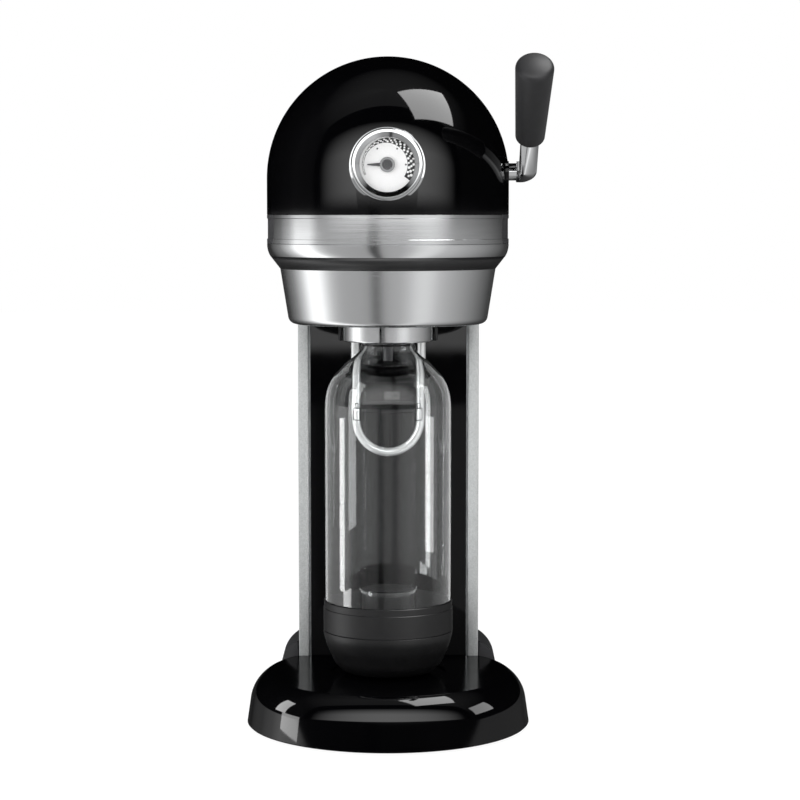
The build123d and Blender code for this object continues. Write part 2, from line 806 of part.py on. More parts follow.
# Dome: upright wall and a round top, holes for the gauge and the lever shaft
with BuildSketch(Plane.XZ) as dome_face:
    with BuildLine():
        dome_outer = CenterArc((0, dome_spring_z), head_radius, 0, 90)
        dome_inner = CenterArc((0, dome_spring_z), dome_inner_radius, 0, 90)
        Line(dome_outer @ 1, dome_inner @ 1)
        Polyline(
            dome_outer @ 0,
            (head_radius, band_top_z),
            (dome_inner_radius, band_top_z),
            dome_inner @ 0,
        )
    make_face()
dome_body = stadium(dome_face.sketch)
gauge_plane = Plane(origin=(0, gauge_y, gauge_z), x_dir=(1, 0, 0), z_dir=(0, -1, 0))
shaft_plane = Plane(origin=(0, shaft_y, shaft_z), x_dir=(0, 1, 0), z_dir=(1, 0, 0))
with BuildPart() as dome_shell:
    add(dome_body)
    with BuildSketch(gauge_plane):
        Circle(bezel_barrel + slip_gap)
    extrude(amount=bezel_depth, both=True, mode=Mode.SUBTRACT)
    with BuildSketch(shaft_plane):
        Circle(collar_radius)
    extrude(amount=head_radius + overrun, mode=Mode.SUBTRACT)
dome_shell.part.label = "dome_shell"
export_step(dome_shell.part, "parts/dome_shell.step")

# Mechanism frame: U-bracket on the tray that carries the lever shaft
cheek_outer_x = cheek_x + cheek_thickness
with BuildPart() as mechanism_frame:
    with BuildSketch(Plane.YZ.offset(-cheek_outer_x)):
        with Locations(((cheek_front_y + cheek_back_y) / 2, (tray_top_z + cheek_top_z) / 2)):
            Rectangle(cheek_back_y - cheek_front_y, cheek_top_z - tray_top_z)
    extrude(amount=2 * cheek_outer_x)
    with BuildSketch(Plane.YZ.offset(-cheek_x)):
        with Locations(((cheek_front_y + cheek_back_y) / 2, (mechanism_top_z + cheek_top_z) / 2)):
            Rectangle(cheek_back_y - cheek_front_y, cheek_top_z - mechanism_top_z)
    extrude(amount=2 * cheek_x, mode=Mode.SUBTRACT)
    with BuildSketch(Plane.YZ.offset(-cheek_outer_x)):
        with Locations((shaft_y, shaft_z)):
            Circle(shaft_radius + bush_wall)
        with Locations(((window_front_y + window_back_y) / 2, (window_bottom_z + window_top_z) / 2)):
            Rectangle(window_back_y - window_front_y, window_top_z - window_bottom_z)
    extrude(amount=2 * cheek_outer_x, mode=Mode.SUBTRACT)
mechanism_frame.part.label = "mechanism_frame"
export_step(mechanism_frame.part, "parts/mechanism_frame.step")

# Bushes in the two cheeks, and the collar in the dome wall
for side, name in ((-1, "shaft_bush_left"), (1, "shaft_bush_right")):
    with BuildPart() as bush:
        with BuildSketch(shaft_plane.offset(side * cheek_x)):
            Circle(shaft_radius + bush_wall)
            Circle(shaft_radius + running_gap, mode=Mode.SUBTRACT)
        extrude(amount=side * cheek_thickness)
        with BuildSketch(shaft_plane.offset(side * cheek_outer_x)):
            Circle(shaft_radius + bush_wall + bush_flange)
            Circle(shaft_radius + running_gap, mode=Mode.SUBTRACT)
        extrude(amount=side * bush_flange_thickness)
    bush.part.label = name
    export_step(bush.part, f"parts/{name}.step")

collar_reach = sqrt(head_radius**2 - shaft_y**2) + collar_proud
with BuildPart() as shaft_collar:
    with BuildSketch(shaft_plane.offset(collar_reach - collar_length)):
        Circle(collar_radius)
        Circle(shaft_radius + seat_gap, mode=Mode.SUBTRACT)
    extrude(amount=collar_length)
    collar_rim = shaft_collar.faces().sort_by(Axis.X)[-1].edges().sort_by(SortBy.RADIUS)[-1]
    fillet(collar_rim, radius=collar_proud / 2)
shaft_collar.part.label = "shaft_collar"
export_step(shaft_collar.part, "parts/shaft_collar.step")

# Return spring: closed coil seated on the right cheek, kept as its outer shape
with BuildPart() as return_spring:
    with BuildSketch(shaft_plane.offset(cheek_x - return_spring_length)):
        Circle(shaft_radius + return_spring_gap + return_spring_wall)
        Circle(shaft_radius + return_spring_gap, mode=Mode.SUBTRACT)
    extrude(amount=return_spring_length)
return_spring.part.label = "return_spring"
export_step(return_spring.part, "parts/return_spring.step")

# Lever shaft: polished rod through both bushes and the dome wall
with BuildPart() as lever_shaft:
    with BuildSketch(shaft_plane.offset(shaft_left_x)):
        Circle(shaft_radius)
    extrude(amount=arm_start_x - shaft_left_x)
lever_shaft.part.label = "lever_shaft"
export_step(lever_shaft.part, "parts/lever_shaft.step")

# Press cam: its edge grows evenly with the turn, so the pin sinks evenly with it
rise = pin_travel / radians(lever_travel)
cam_steps = 24


def cam_edge(turn):
    """Cam radius that faces down after the lever has turned by this many degrees."""
    if -cam_rise_before <= turn <= cam_rise_after:
        return cam_radius + rise * radians(turn)
    back = (turn - cam_rise_after) % 360 / (360 - cam_rise_after - cam_rise_before)
    high = cam_radius + rise * radians(cam_rise_after)
    low = cam_radius - rise * radians(cam_rise_before)
    return high + (low - high) * (1 - cos(back * pi)) / 2


cam_points = []
for step in range(cam_steps):
    turn = step * 360 / cam_steps - cam_rise_before
    reach = cam_edge(turn)
    heading = radians(-90 - turn)
    cam_points.append((reach * cos(heading), reach * sin(heading)))
with BuildPart() as press_cam:
    with BuildSketch(shaft_plane.offset(-cam_width / 2)):
        with BuildLine():
            Spline(*cam_points, periodic=True)
        make_face()
        Circle(shaft_radius, mode=Mode.SUBTRACT)
    extrude(amount=cam_width)
press_cam.part.label = "press_cam"
export_step(press_cam.part, "parts/press_cam.step")

# Lever arm: square bar with chamfered edges, bent from the shaft to the grip
lever_plane = Plane(
    origin=(0, shaft_y, shaft_z), x_dir=(1, 0, 0), z_dir=Vector(1, 0, 0).cross(shaft_direction)
)
arm_half = arm_width / 2
arm_end = grip_start + arm_in_grip
with BuildSketch(lever_plane.offset(-arm_half)) as arm_face:
    with BuildLine():
        Polyline(
            (arm_start_x, -arm_half),
            (arm_x + arm_half, -arm_half),
            (arm_x + arm_half, arm_end),
            (arm_x - arm_half, arm_end),
            (arm_x - arm_half, arm_half),
            (arm_start_x, arm_half),
            close=True,
        )
    make_face()
    outer_point = lever_plane.from_local_coords((arm_x + arm_half, -arm_half))
    inner_point = lever_plane.from_local_coords((arm_x - arm_half, arm_half))
    outer_corner = arm_face.vertices().sort_by_distance(outer_point)[0]
    inner_corner = arm_face.vertices().sort_by_distance(inner_point)[0]
    fillet(outer_corner, radius=arm_bend_radius)
    fillet(inner_corner, radius=arm_inner_round)
with BuildPart() as lever_arm:
    extrude(arm_face.sketch, amount=arm_width)
    flat_sides = lever_arm.faces().filter_by(lever_plane)
    chamfer(flat_sides.edges(), length=arm_chamfer)
lever_arm.part.label = "lever_arm"
export_step(lever_arm.part, "parts/lever_arm.step")

# Grip: soft tapered handle moulded over the arm
grip_axis = Axis(lever_plane.from_local_coords((arm_x, 0)), shaft_direction)
with BuildPart() as lever_grip:
    with BuildSketch(lever_plane):
        with BuildLine():
            Polyline(
                (arm_x, grip_end),
                (arm_x, grip_start),
                (arm_x + grip_start_radius, grip_start),
                (arm_x + grip_end_radius, grip_end),
                close=True,
            )
        make_face()
    revolve(axis=grip_axis)
    grip_rims = lever_grip.edges().filter_by(GeomType.CIRCLE)
    fillet(grip_rims.sort_by(SortBy.RADIUS)[0], radius=grip_start_round)
    grip_rims = lever_grip.edges().filter_by(GeomType.CIRCLE)
    fillet(grip_rims.sort_by(SortBy.RADIUS)[-1], radius=grip_end_round)
    add(lever_arm.part, mode=Mode.SUBTRACT)
lever_grip.part.label = "lever_grip"
export_step(lever_grip.part, "parts/lever_grip.step")

# Push pin: round-topped pin that the cam presses into the gas valve
pin_top_z = shaft_z - cam_radius - cam_gap
valve_top_z = mechanism_top_z + gas_valve_height
pin_bottom_z = valve_top_z - pin_bore_depth + pin_travel + seat_gap
pin_collar_z = pin_top_z - pin_collar_drop - pin_collar_thickness
pin_body = turned(
    [
        (0, pin_bottom_z),
        (pin_radius, pin_bottom_z),
        (pin_radius, pin_collar_z),
        (pin_collar_radius, pin_collar_z),
        (pin_collar_radius, pin_collar_z + pin_collar_thickness),
        (pin_radius, pin_collar_z + pin_collar_thickness),
        (pin_radius, pin_top_z),
        (0, pin_top_z),
    ],
    shaft_y,
)
with BuildPart() as push_pin:
    add(pin_body)
    fillet(push_pin.faces().sort_by(Axis.Z)[-1].edges(), radius=pin_radius - running_gap)
push_pin.part.label = "push_pin"
export_step(push_pin.part, "parts/push_pin.step")

# Push spring: coil between the valve and the pin's collar, kept as its outer shape
spring_bore = pin_radius + seat_gap * 2
with BuildPart() as push_spring:
    with BuildSketch(Plane.XY.offset(valve_top_z)):
        with Locations((0, shaft_y)):
            Circle(spring_bore + push_spring_wall)
            Circle(spring_bore, mode=Mode.SUBTRACT)
    extrude(amount=pin_collar_z - valve_top_z)
push_spring.part.label = "push_spring"
export_step(push_spring.part, "parts/push_spring.step")

# Gas valve: brass body under the pin
with BuildPart() as gas_valve:
    with BuildSketch(Plane.XY.offset(mechanism_top_z)):
        with Locations((0, shaft_y)):
            Circle(gas_valve_radius)
    extrude(amount=gas_valve_height)
    with BuildSketch(Plane.XY.offset(valve_top_z)):
        with Locations((0, shaft_y)):
            Circle(pin_radius + running_gap)
    extrude(amount=-pin_bore_depth, mode=Mode.SUBTRACT)
gas_valve.part.label = "gas_valve"
export_step(gas_valve.part, "parts/gas_valve.step")

# Relief valve: small cap on the valve's left side
port_z = mechanism_top_z + gas_valve_height / 2
with BuildPart() as relief_valve:
    with BuildSketch(Plane(origin=(-gas_valve_radius, shaft_y, port_z), z_dir=(-1, 0, 0))):
        Circle(relief_radius)
    extrude(amount=relief_length)
    chamfer(relief_valve.faces().sort_by(Axis.X)[0].edges(), length=relief_chamfer)
relief_valve.part.label = "relief_valve"
export_step(relief_valve.part, "parts/relief_valve.step")

# Pressure pipe: from the cylinder's seat forward and down to the valve
pipe_z = seat_flange_z + seat_boss_height / 2
pipe_y = (cheek_back_y + cylinder_y - bridge_depth / 2) / 2 - pipe_bend * 2
pipe_body = tube_along(
    [
        (0, cylinder_y - seat_boss_radius, pipe_z),
        (0, pipe_y, pipe_z),
        (0, pipe_y, port_z),
        (0, shaft_y + gas_valve_radius, port_z),
    ],
    pipe_bend,
    pipe_radius,
)
with BuildPart() as pressure_pipe:
    add(pipe_body)
pressure_pipe.part.label = "pressure_pipe"
export_step(pressure_pipe.part, "parts/pressure_pipe.step")

# Gas tube: from the valve's right side down to the holder's hollow hinge pin
hinge_pin_end_x = hinge_ear_x + ear_thickness + seat_gap
tube_body = tube_along(
    [
        (gas_valve_radius, shaft_y, port_z),
        (tube_x, shaft_y, port_z),
        (tube_x, hinge_y, port_z),
        (tube_x, hinge_y, hinge_z),
        (hinge_pin_end_x, hinge_y, hinge_z),
    ],
    tube_bend,
    tube_radius,
)
with BuildPart() as gas_tube:
    add(tube_body)
gas_tube.part.label = "gas_tube"
export_step(gas_tube.part, "parts/gas_tube.step")

# Holder bracket: two ears under the tray that carry the hinge pins
ear_bottom_z = hinge_z - ear_below_pin
ear_outer_x = hinge_ear_x + ear_thickness
with BuildPart() as holder_bracket:
    with BuildSketch(Plane.XZ.offset(-(hinge_y + ear_depth / 2))):
        with BuildLine():
            Polyline(
                (-ear_outer_x, ear_bottom_z),
                (-ear_outer_x, tray_bottom_z),
                (ear_outer_x, tray_bottom_z),
                (ear_outer_x, ear_bottom_z),
                (hinge_ear_x, ear_bottom_z),
                (hinge_ear_x, tray_bottom_z - ear_thickness),
                (-hinge_ear_x, tray_bottom_z - ear_thickness),
                (-hinge_ear_x, ear_bottom_z),
                close=True,
            )
        make_face()
    extrude(amount=ear_depth)
    with BuildSketch(Plane.YZ.offset(-ear_outer_x)):
        with Locations((hinge_y, hinge_z)):
            Circle(hinge_pin_radius)
    extrude(amount=2 * ear_outer_x, mode=Mode.SUBTRACT)
holder_bracket.part.label = "holder_bracket"
export_step(holder_bracket.part, "parts/holder_bracket.step")

# Hinge pins: one in each ear, reaching into the holder
with BuildPart() as hinge_pins:
    for side in (-1, 1):
        with BuildSketch(Plane.YZ.offset(side * (holder_half_width - hinge_pin_grip))):
            with Locations((hinge_y, hinge_z)):
                Circle(hinge_pin_radius)
        extrude(amount=side * (hinge_pin_grip + seat_gap + ear_thickness + seat_gap))
hinge_pins.part.label = "hinge_pins"
export_step(hinge_pins.part, "parts/hinge_pins.step")

# Holder: black ring and top block that swing with the bottle
seal_z = bottle_top_z + seat_gap
nozzle_flange_z = seal_z + seal_thickness
with BuildPart() as holder_body:
    with BuildSketch(Plane.XY.offset(holder_plate_z)):
        Circle(holder_ring_radius)
        with Locations((0, (holder_front_y + holder_back_y) / 2)):
            Rectangle(2 * holder_half_width, holder_back_y - holder_front_y)
    extrude(amount=holder_top_z - holder_plate_z)
    with BuildSketch(Plane.XY.offset(collar_bottom_z)):
        Circle(holder_ring_radius)
    extrude(amount=holder_plate_z - collar_bottom_z)
    outer_rim = holder_body.faces().sort_by(Axis.Z)[0].edges()
    fillet(outer_rim, radius=collar_edge_round)
    with BuildSketch(Plane.XY.offset(collar_bottom_z)):
        Circle(holder_ring_radius - holder_ring_wall)
    extrude(amount=collar_top_z + seat_gap - collar_bottom_z, mode=Mode.SUBTRACT)
    with BuildSketch(Plane.XY.offset(collar_bottom_z)):
        with Locations((0, ring_front_y - holder_ring_radius)):
            Rectangle(2 * holder_ring_radius, 2 * holder_ring_radius)
    extrude(amount=collar_top_z + seat_gap - collar_bottom_z, mode=Mode.SUBTRACT)
    with BuildSketch(Plane.XY.offset(collar_bottom_z)):
        Circle(thread_neck_radius + seat_gap)
    extrude(amount=nozzle_flange_z - collar_bottom_z, mode=Mode.SUBTRACT)
    with BuildSketch(Plane.XY.offset(nozzle_flange_z)):
        Circle(nozzle_flange_radius)
    extrude(amount=nozzle_flange_thickness, mode=Mode.SUBTRACT)
    with BuildSketch(Plane.YZ.offset(-holder_half_width)):
        with Locations((hinge_y, hinge_z)):
            Circle(hinge_pin_radius + running_gap)
    extrude(amount=hinge_pin_grip + seat_gap, mode=Mode.SUBTRACT)
    with BuildSketch(Plane.YZ.offset(holder_half_width)):
        with Locations((hinge_y, hinge_z)):
            Circle(hinge_pin_radius + running_gap)
    extrude(amount=-(hinge_pin_grip + seat_gap), mode=Mode.SUBTRACT)
holder_body.part.label = "holder_body"
export_step(holder_body.part, "parts/holder_body.step")

# Collar: two jaws that close round the bottle's neck under its flange
flange_bottom_z = neck_flange_top_z - neck_flange_thickness
jaw_step_z = flange_bottom_z - seat_gap
for side, name in ((-1, "collar_jaw_left"), (1, "collar_jaw_right")):
    slit_face_x = jaw_slit_x + side * jaw_slit / 2
    pin_x = jaw_slit_x + side * jaw_pin_offset
    with BuildPart() as jaw:
        with BuildSketch(Plane.XY.offset(collar_bottom_z)):
            Circle(collar_outer_radius)
        extrude(amount=collar_top_z - collar_bottom_z)
        fillet(jaw.faces().sort_by(Axis.Z)[0].edges(), radius=collar_edge_round)
        with BuildSketch(Plane.XY.offset(collar_bottom_z)):
            Circle(neck_groove_radius + seat_gap + slip_gap)
        extrude(amount=collar_top_z - collar_bottom_z, mode=Mode.SUBTRACT)
        with BuildSketch(Plane.XY.offset(jaw_step_z)):
            Circle(neck_flange_radius + seat_gap * 2)
        extrude(amount=collar_top_z - jaw_step_z, mode=Mode.SUBTRACT)
        with BuildSketch(Plane.XY.offset(collar_bottom_z)):
            with Locations((pin_x, jaw_pin_y)):
                Circle(jaw_pin_radius + running_gap)
        extrude(amount=collar_top_z - collar_bottom_z, mode=Mode.SUBTRACT)
        kept_side = Plane(origin=(slit_face_x, 0, 0), z_dir=(side, 0, 0))
        split(bisect_by=kept_side, keep=Keep.TOP)
    jaw.part.label = name
    export_step(jaw.part, f"parts/{name}.step")

# Jaw pins: upright pins in the holder that the jaws turn on
with BuildPart() as jaw_pins:
    with BuildSketch(Plane.XY.offset(collar_bottom_z + collar_edge_round)):
        with Locations((jaw_slit_x, jaw_pin_y)):
            with Locations((-jaw_pin_offset, 0), (jaw_pin_offset, 0)):
                Circle(jaw_pin_radius)
    extrude(amount=collar_top_z + seat_gap - collar_bottom_z - collar_edge_round)
jaw_pins.part.label = "jaw_pins"
export_step(jaw_pins.part, "parts/jaw_pins.step")

# Bottle seal: rubber ring over the bottle's mouth
with BuildPart() as bottle_seal:
    with BuildSketch(Plane.XY.offset(seal_z)):
        Circle(thread_neck_radius)
        Circle(nozzle_radius, mode=Mode.SUBTRACT)
    extrude(amount=seal_thickness)
bottle_seal.part.label = "bottle_seal"
export_step(bottle_seal.part, "parts/bottle_seal.step")

# Nozzle: flanged tube that carries the gas down into the bottle
nozzle_body = turned(
    [
        (nozzle_bore, nozzle_end_z),
        (nozzle_radius, nozzle_end_z),
        (nozzle_radius, nozzle_flange_z),
        (nozzle_flange_radius, nozzle_flange_z),
        (nozzle_flange_radius, nozzle_flange_z + nozzle_flange_thickness),
        (nozzle_bore, nozzle_flange_z + nozzle_flange_thickness),
    ]
)
with BuildPart() as nozzle:
    add(nozzle_body)
nozzle.part.label = "nozzle"
export_step(nozzle.part, "parts/nozzle.step")

# Rest bow: bright U behind the bottle, its legs standing up to the holder
with BuildPart() as rest_bow:
    with BuildLine():
        Line((-bow_center_x, bow_y, holder_plate_z), (-bow_center_x, bow_y, bow_arc_z))
        ThreePointArc(
            (-bow_center_x, bow_y, bow_arc_z),
            (0, bow_y, bow_arc_z - bow_center_x),
            (bow_center_x, bow_y, bow_arc_z),
        )
        Line((bow_center_x, bow_y, bow_arc_z), (bow_center_x, bow_y, holder_plate_z))
    with BuildSketch(Plane.XY.offset(holder_plate_z)):
        with Locations((-bow_center_x, bow_y)):
            Circle(bow_bar_radius)
    sweep()
rest_bow.part.label = "rest_bow"
export_step(rest_bow.part, "parts/rest_bow.step")

# Bottle: clear blown body with a long shoulder, hollow, its bottom pushed up in the middle
bottle_foot_radius = cup_bottom_radius + cup_wall


def shoulder_points(inset):
    """Points down the shoulder: shares of the way out and down from the neck to the body."""
    return [
        (
            shoulder_top_radius + out * (bottle_radius - shoulder_top_radius) - inset,
            shoulder_top_z + down * (bottle_shoulder_z - shoulder_top_z),
        )
        for out, down in shoulder_shares
    ]


with BuildPart() as bottle_body:
    with BuildSketch(Plane.XZ):
        with BuildLine():
            Polyline(
                (0, punt_top_z - bottle_wall),
                (0, bottle_top_z),
                (thread_neck_radius, bottle_top_z),
                (thread_neck_radius, neck_flange_top_z),
                (neck_flange_radius, neck_flange_top_z),
                (neck_flange_radius, flange_bottom_z),
                (neck_groove_radius, flange_bottom_z),
                (neck_groove_radius, neck_base_z),
                (neck_root_radius, neck_root_z),
                (shoulder_top_radius, shoulder_top_z),
            )
            Spline(
                (shoulder_top_radius, shoulder_top_z),
                *shoulder_points(0),
                (bottle_radius, bottle_shoulder_z),
                tangents=(neck_flare_shares, (0, -1)),
            )
            Polyline(
                (bottle_radius, bottle_shoulder_z),
                (bottle_radius, cup_seam_z),
                (bottle_foot_radius, bottle_bottom_z),
                (punt_radius, bottle_bottom_z),
                (punt_radius, punt_top_z - bottle_wall),
                (0, punt_top_z - bottle_wall),
            )
        make_face()
    revolve(axis=Axis.Z)
    with BuildSketch(Plane.XZ):
        with BuildLine():
            Polyline(
                (0, punt_top_z),
                (0, bottle_top_z),
                (thread_neck_radius - bottle_wall, bottle_top_z),
                (thread_neck_radius - bottle_wall, flange_bottom_z),
                (neck_groove_radius - bottle_wall, neck_base_z - bottle_wall),
                (neck_root_radius - bottle_wall, neck_root_z - bottle_wall),
                (shoulder_top_radius - bottle_wall, shoulder_top_z),
            )
            Spline(
                (shoulder_top_radius - bottle_wall, shoulder_top_z),
                *shoulder_points(bottle_wall),
                (bottle_radius - bottle_wall, bottle_shoulder_z),
                tangents=(neck_flare_shares, (0, -1)),
            )
            Polyline(
                (bottle_radius - bottle_wall, bottle_shoulder_z),
                (bottle_radius - bottle_wall, cup_seam_z),
                (bottle_foot_radius - bottle_wall, bottle_bottom_z + bottle_wall),
                (punt_radius + bottle_wall, bottle_bottom_z + bottle_wall),
                (punt_radius + bottle_wall, punt_top_z),
                (0, punt_top_z),
            )
        make_face()
    revolve(axis=Axis.Z, mode=Mode.SUBTRACT)
bottle_body.part.label = "bottle_body"
export_step(bottle_body.part, "parts/bottle_body.step")

# Cup bowl: lower band of the bottle's foot, with a post inside the bottle's pushed-up bottom
post_radius = punt_radius - seat_gap * 2
post_top_z = punt_top_z - bottle_wall - seat_gap
bottle_seat_z = bottle_bottom_z - seat_gap
with BuildPart() as cup_bowl:
    with BuildSketch(Plane.XZ):
        with BuildLine():
            Polyline(
                (0, post_top_z),
                (0, cup_bottom_z),
                (cup_bottom_radius, cup_bottom_z),
            )
            Spline(
                (cup_bottom_radius, cup_bottom_z),
                *[
                    (
                        cup_bottom_radius + out * (cup_radius - cup_bottom_radius),
                        cup_bottom_z + up * (cup_seam_z - cup_bottom_z),
                    )
                    for out, up in bowl_shares
                ],
                (cup_radius, cup_seam_z),
                tangents=((1, 0), (0, 1)),
            )
            Polyline(
                (cup_radius, cup_seam_z),
                (bottle_radius + seat_gap, cup_seam_z),
                (bottle_foot_radius + seat_gap * 2, bottle_seat_z),
                (post_radius, bottle_seat_z),
                (post_radius, post_top_z),
                (0, post_top_z),
            )
        make_face()
    revolve(axis=Axis.Z)
cup_bowl.part.label = "cup_bowl"
export_step(cup_bowl.part, "parts/cup_bowl.step")

# Cup sleeve: upper band of the bottle's foot
sleeve_body = turned(
    [
        (bottle_radius + seat_gap, cup_seam_z),
        (cup_radius, cup_seam_z),
        (cup_radius, cup_rim_z),
        (bottle_radius + seat_gap, cup_rim_z),
    ]
)
with BuildPart() as cup_sleeve:
    add(sleeve_body)
    fillet(cup_sleeve.faces().sort_by(Axis.Z)[-1].edges(), radius=cup_rim_round)
cup_sleeve.part.label = "cup_sleeve"
export_step(cup_sleeve.part, "parts/cup_sleeve.step")

# Gauge pieces are turned about the gauge's axis: across is the radius, up is towards the viewer
gauge_turn_plane = Plane(origin=(0, gauge_y, gauge_z), x_dir=(1, 0, 0), z_dir=(0, 0, -1))
gauge_axis = Axis((0, gauge_y, gauge_z), (0, -1, 0))
glass_front = bezel_proud - glass_inset
bezel_crest_radius = bezel_opening + bezel_slope
glass_back = glass_front - glass_thickness
dial_front = -dial_setback
dial_back = dial_front - dial_thickness

# Bezel: rounded bright ring with a thin flange that follows the dome
flange_front = head_radius + bezel_flange
with BuildPart() as flange_form:
    with BuildSketch(Plane.XZ):
        with BuildLine():
            flange_arc = CenterArc((0, dome_spring_z), flange_front, 0, 90)
            Polyline(flange_arc @ 0, (flange_front, band_top_z), (0, band_top_z), flange_arc @ 1)
        make_face()
    revolve(axis=Axis.Z)
flange_reach = flange_form.part
with BuildPart() as gauge_bezel:
    with BuildSketch(gauge_plane):
        Circle(bezel_flange_radius)
    extrude(amount=bezel_depth, both=True)
    add(flange_reach, mode=Mode.INTERSECT)
    with BuildSketch(gauge_plane):
        Circle(gauge_inner_radius)
    extrude(amount=bezel_depth, both=True, mode=Mode.SUBTRACT)
    with BuildSketch(gauge_turn_plane):
        with BuildLine():
            Polyline(
                (bezel_radius, 0),
                (bezel_barrel, 0),
                (bezel_barrel, -bezel_depth),
                (gauge_inner_radius, -bezel_depth),
                (gauge_inner_radius, glass_front),
                (bezel_opening, glass_front),
                (bezel_opening, glass_front + bezel_land),
                (bezel_crest_radius, bezel_proud),
                ((bezel_crest_radius + bezel_radius) / 2, bezel_proud),
            )
            bezel_front = ((bezel_crest_radius + bezel_radius) / 2, bezel_proud)
            TangentArc(bezel_front, (bezel_radius, bezel_proud / 2), tangent=(1, 0))
            Line((bezel_radius, bezel_proud / 2), (bezel_radius, 0))
        make_face()
    revolve(axis=gauge_axis)
    add(dome_shell.part, mode=Mode.SUBTRACT)
gauge_bezel.part.label = "gauge_bezel"
export_step(gauge_bezel.part, "parts/gauge_bezel.step")

# Housing: cup behind the dial
dial_radius = gauge_inner_radius - seat_gap / 2
housing_body_points = [
    (0, dial_back - housing_depth),
    (dial_radius, dial_back - housing_depth),
    (dial_radius, dial_back),
    (dial_radius - housing_wall, dial_back),
    (dial_radius - housing_wall, dial_back - housing_depth + housing_wall),
    (0, dial_back - housing_depth + housing_wall),
]
with BuildPart() as gauge_housing:
    revolve(outline(housing_body_points, gauge_turn_plane), axis=gauge_axis)
gauge_housing.part.label = "gauge_housing"
export_step(gauge_housing.part, "parts/gauge_housing.step")

# Dial: printed disc that the needle's arbor turns in
with BuildPart() as gauge_dial:
    with BuildSketch(gauge_plane.offset(dial_back)):
        Circle(dial_radius)
        Circle(needle_arbor_radius + running_gap, mode=Mode.SUBTRACT)
    extrude(amount=dial_thickness)
gauge_dial.part.label = "gauge_dial"
export_step(gauge_dial.part, "parts/gauge_dial.step")

# Needle: tapered pointer with a hub and an arbor, pointing to the left at rest
needle_back = dial_front + needle_lift
with BuildPart() as gauge_needle:
    with BuildSketch(gauge_plane.offset(needle_back)):
        with BuildLine():
            Polyline(
                (0, -needle_root_half),
                (0, needle_root_half),
                (-needle_length, needle_tip_half),
                (-needle_length, -needle_tip_half),
                close=True,
            )
        make_face()
        Circle(needle_hub_radius)
    extrude(amount=needle_thickness)
    with BuildSketch(gauge_plane.offset(dial_back - housing_depth / 2)):
        Circle(needle_arbor_radius)
    extrude(amount=needle_back - dial_back + housing_depth / 2)
gauge_needle.part.label = "gauge_needle"
export_step(gauge_needle.part, "parts/gauge_needle.step")

# Glass: flat window under the bezel's lip
with BuildPart() as gauge_glass:
    with BuildSketch(gauge_plane.offset(glass_back)):
        Circle(dial_radius)
    extrude(amount=glass_thickness)
gauge_glass.part.label = "gauge_glass"
export_step(gauge_glass.part, "parts/gauge_glass.step")
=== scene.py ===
from math import asin, atan2, cos, degrees, pi, radians, sin

import bmesh
import bpy
from mathutils import Matrix, Vector
from mathutils.geometry import interpolate_bezier


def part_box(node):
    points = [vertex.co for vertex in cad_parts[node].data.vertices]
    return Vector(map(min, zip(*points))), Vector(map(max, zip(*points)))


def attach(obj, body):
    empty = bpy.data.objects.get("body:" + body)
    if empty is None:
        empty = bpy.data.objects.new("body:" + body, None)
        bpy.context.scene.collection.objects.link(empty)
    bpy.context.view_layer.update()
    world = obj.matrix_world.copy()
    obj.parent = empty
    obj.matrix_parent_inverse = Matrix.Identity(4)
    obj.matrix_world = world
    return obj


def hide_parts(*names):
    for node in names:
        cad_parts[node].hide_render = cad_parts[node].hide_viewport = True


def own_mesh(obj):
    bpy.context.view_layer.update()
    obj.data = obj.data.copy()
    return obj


# Sparkling water maker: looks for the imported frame. Metres, +Z up, the front faces -Y.
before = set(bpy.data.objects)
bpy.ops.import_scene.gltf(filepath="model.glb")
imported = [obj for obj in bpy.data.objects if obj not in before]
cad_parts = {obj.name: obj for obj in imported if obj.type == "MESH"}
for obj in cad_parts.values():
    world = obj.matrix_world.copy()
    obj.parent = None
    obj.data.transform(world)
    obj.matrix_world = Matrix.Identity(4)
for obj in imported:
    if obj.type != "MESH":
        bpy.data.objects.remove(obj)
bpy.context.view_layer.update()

MM = 0.001
ROUND_STEPS = 192
FINE_STEPS = 64
TINY = 0.01 * MM

# Places read from the frame
base_low, base_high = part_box("base_shell")
deck_low, deck_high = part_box("deck_plate")
dome_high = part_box("dome_shell")[1]
band_low, band_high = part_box("trim_band_front")
bulge_low, bulge_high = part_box("bulge_ring")
cone_low, cone_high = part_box("steel_cone")
panel_low, panel_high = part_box("column_front_panel")
jaw_low, jaw_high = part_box("collar_jaw_left")
jaw_right_low, jaw_right_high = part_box("collar_jaw_right")
bow_low, bow_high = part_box("rest_bow")
bottle_low, bottle_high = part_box("bottle_body")
bowl_low, bowl_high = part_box("cup_bowl")
sleeve_low, sleeve_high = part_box("cup_sleeve")
dial_low, dial_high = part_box("gauge_dial")
collar_low, collar_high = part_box("shaft_collar")
cam_low, cam_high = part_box("shaft_bush_right")
needle_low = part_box("gauge_needle")[0]

head_radius = dome_high.x
head_back = dome_high.y - head_radius
dome_spring = dome_high.z - head_radius
gauge_center = Vector((0, dial_low.y, (dial_low.z + dial_high.z) / 2))
shaft_center = Vector((0, (cam_low.y + cam_high.y) / 2, (cam_low.z + cam_high.z) / 2))
cut_y = cone_high.y

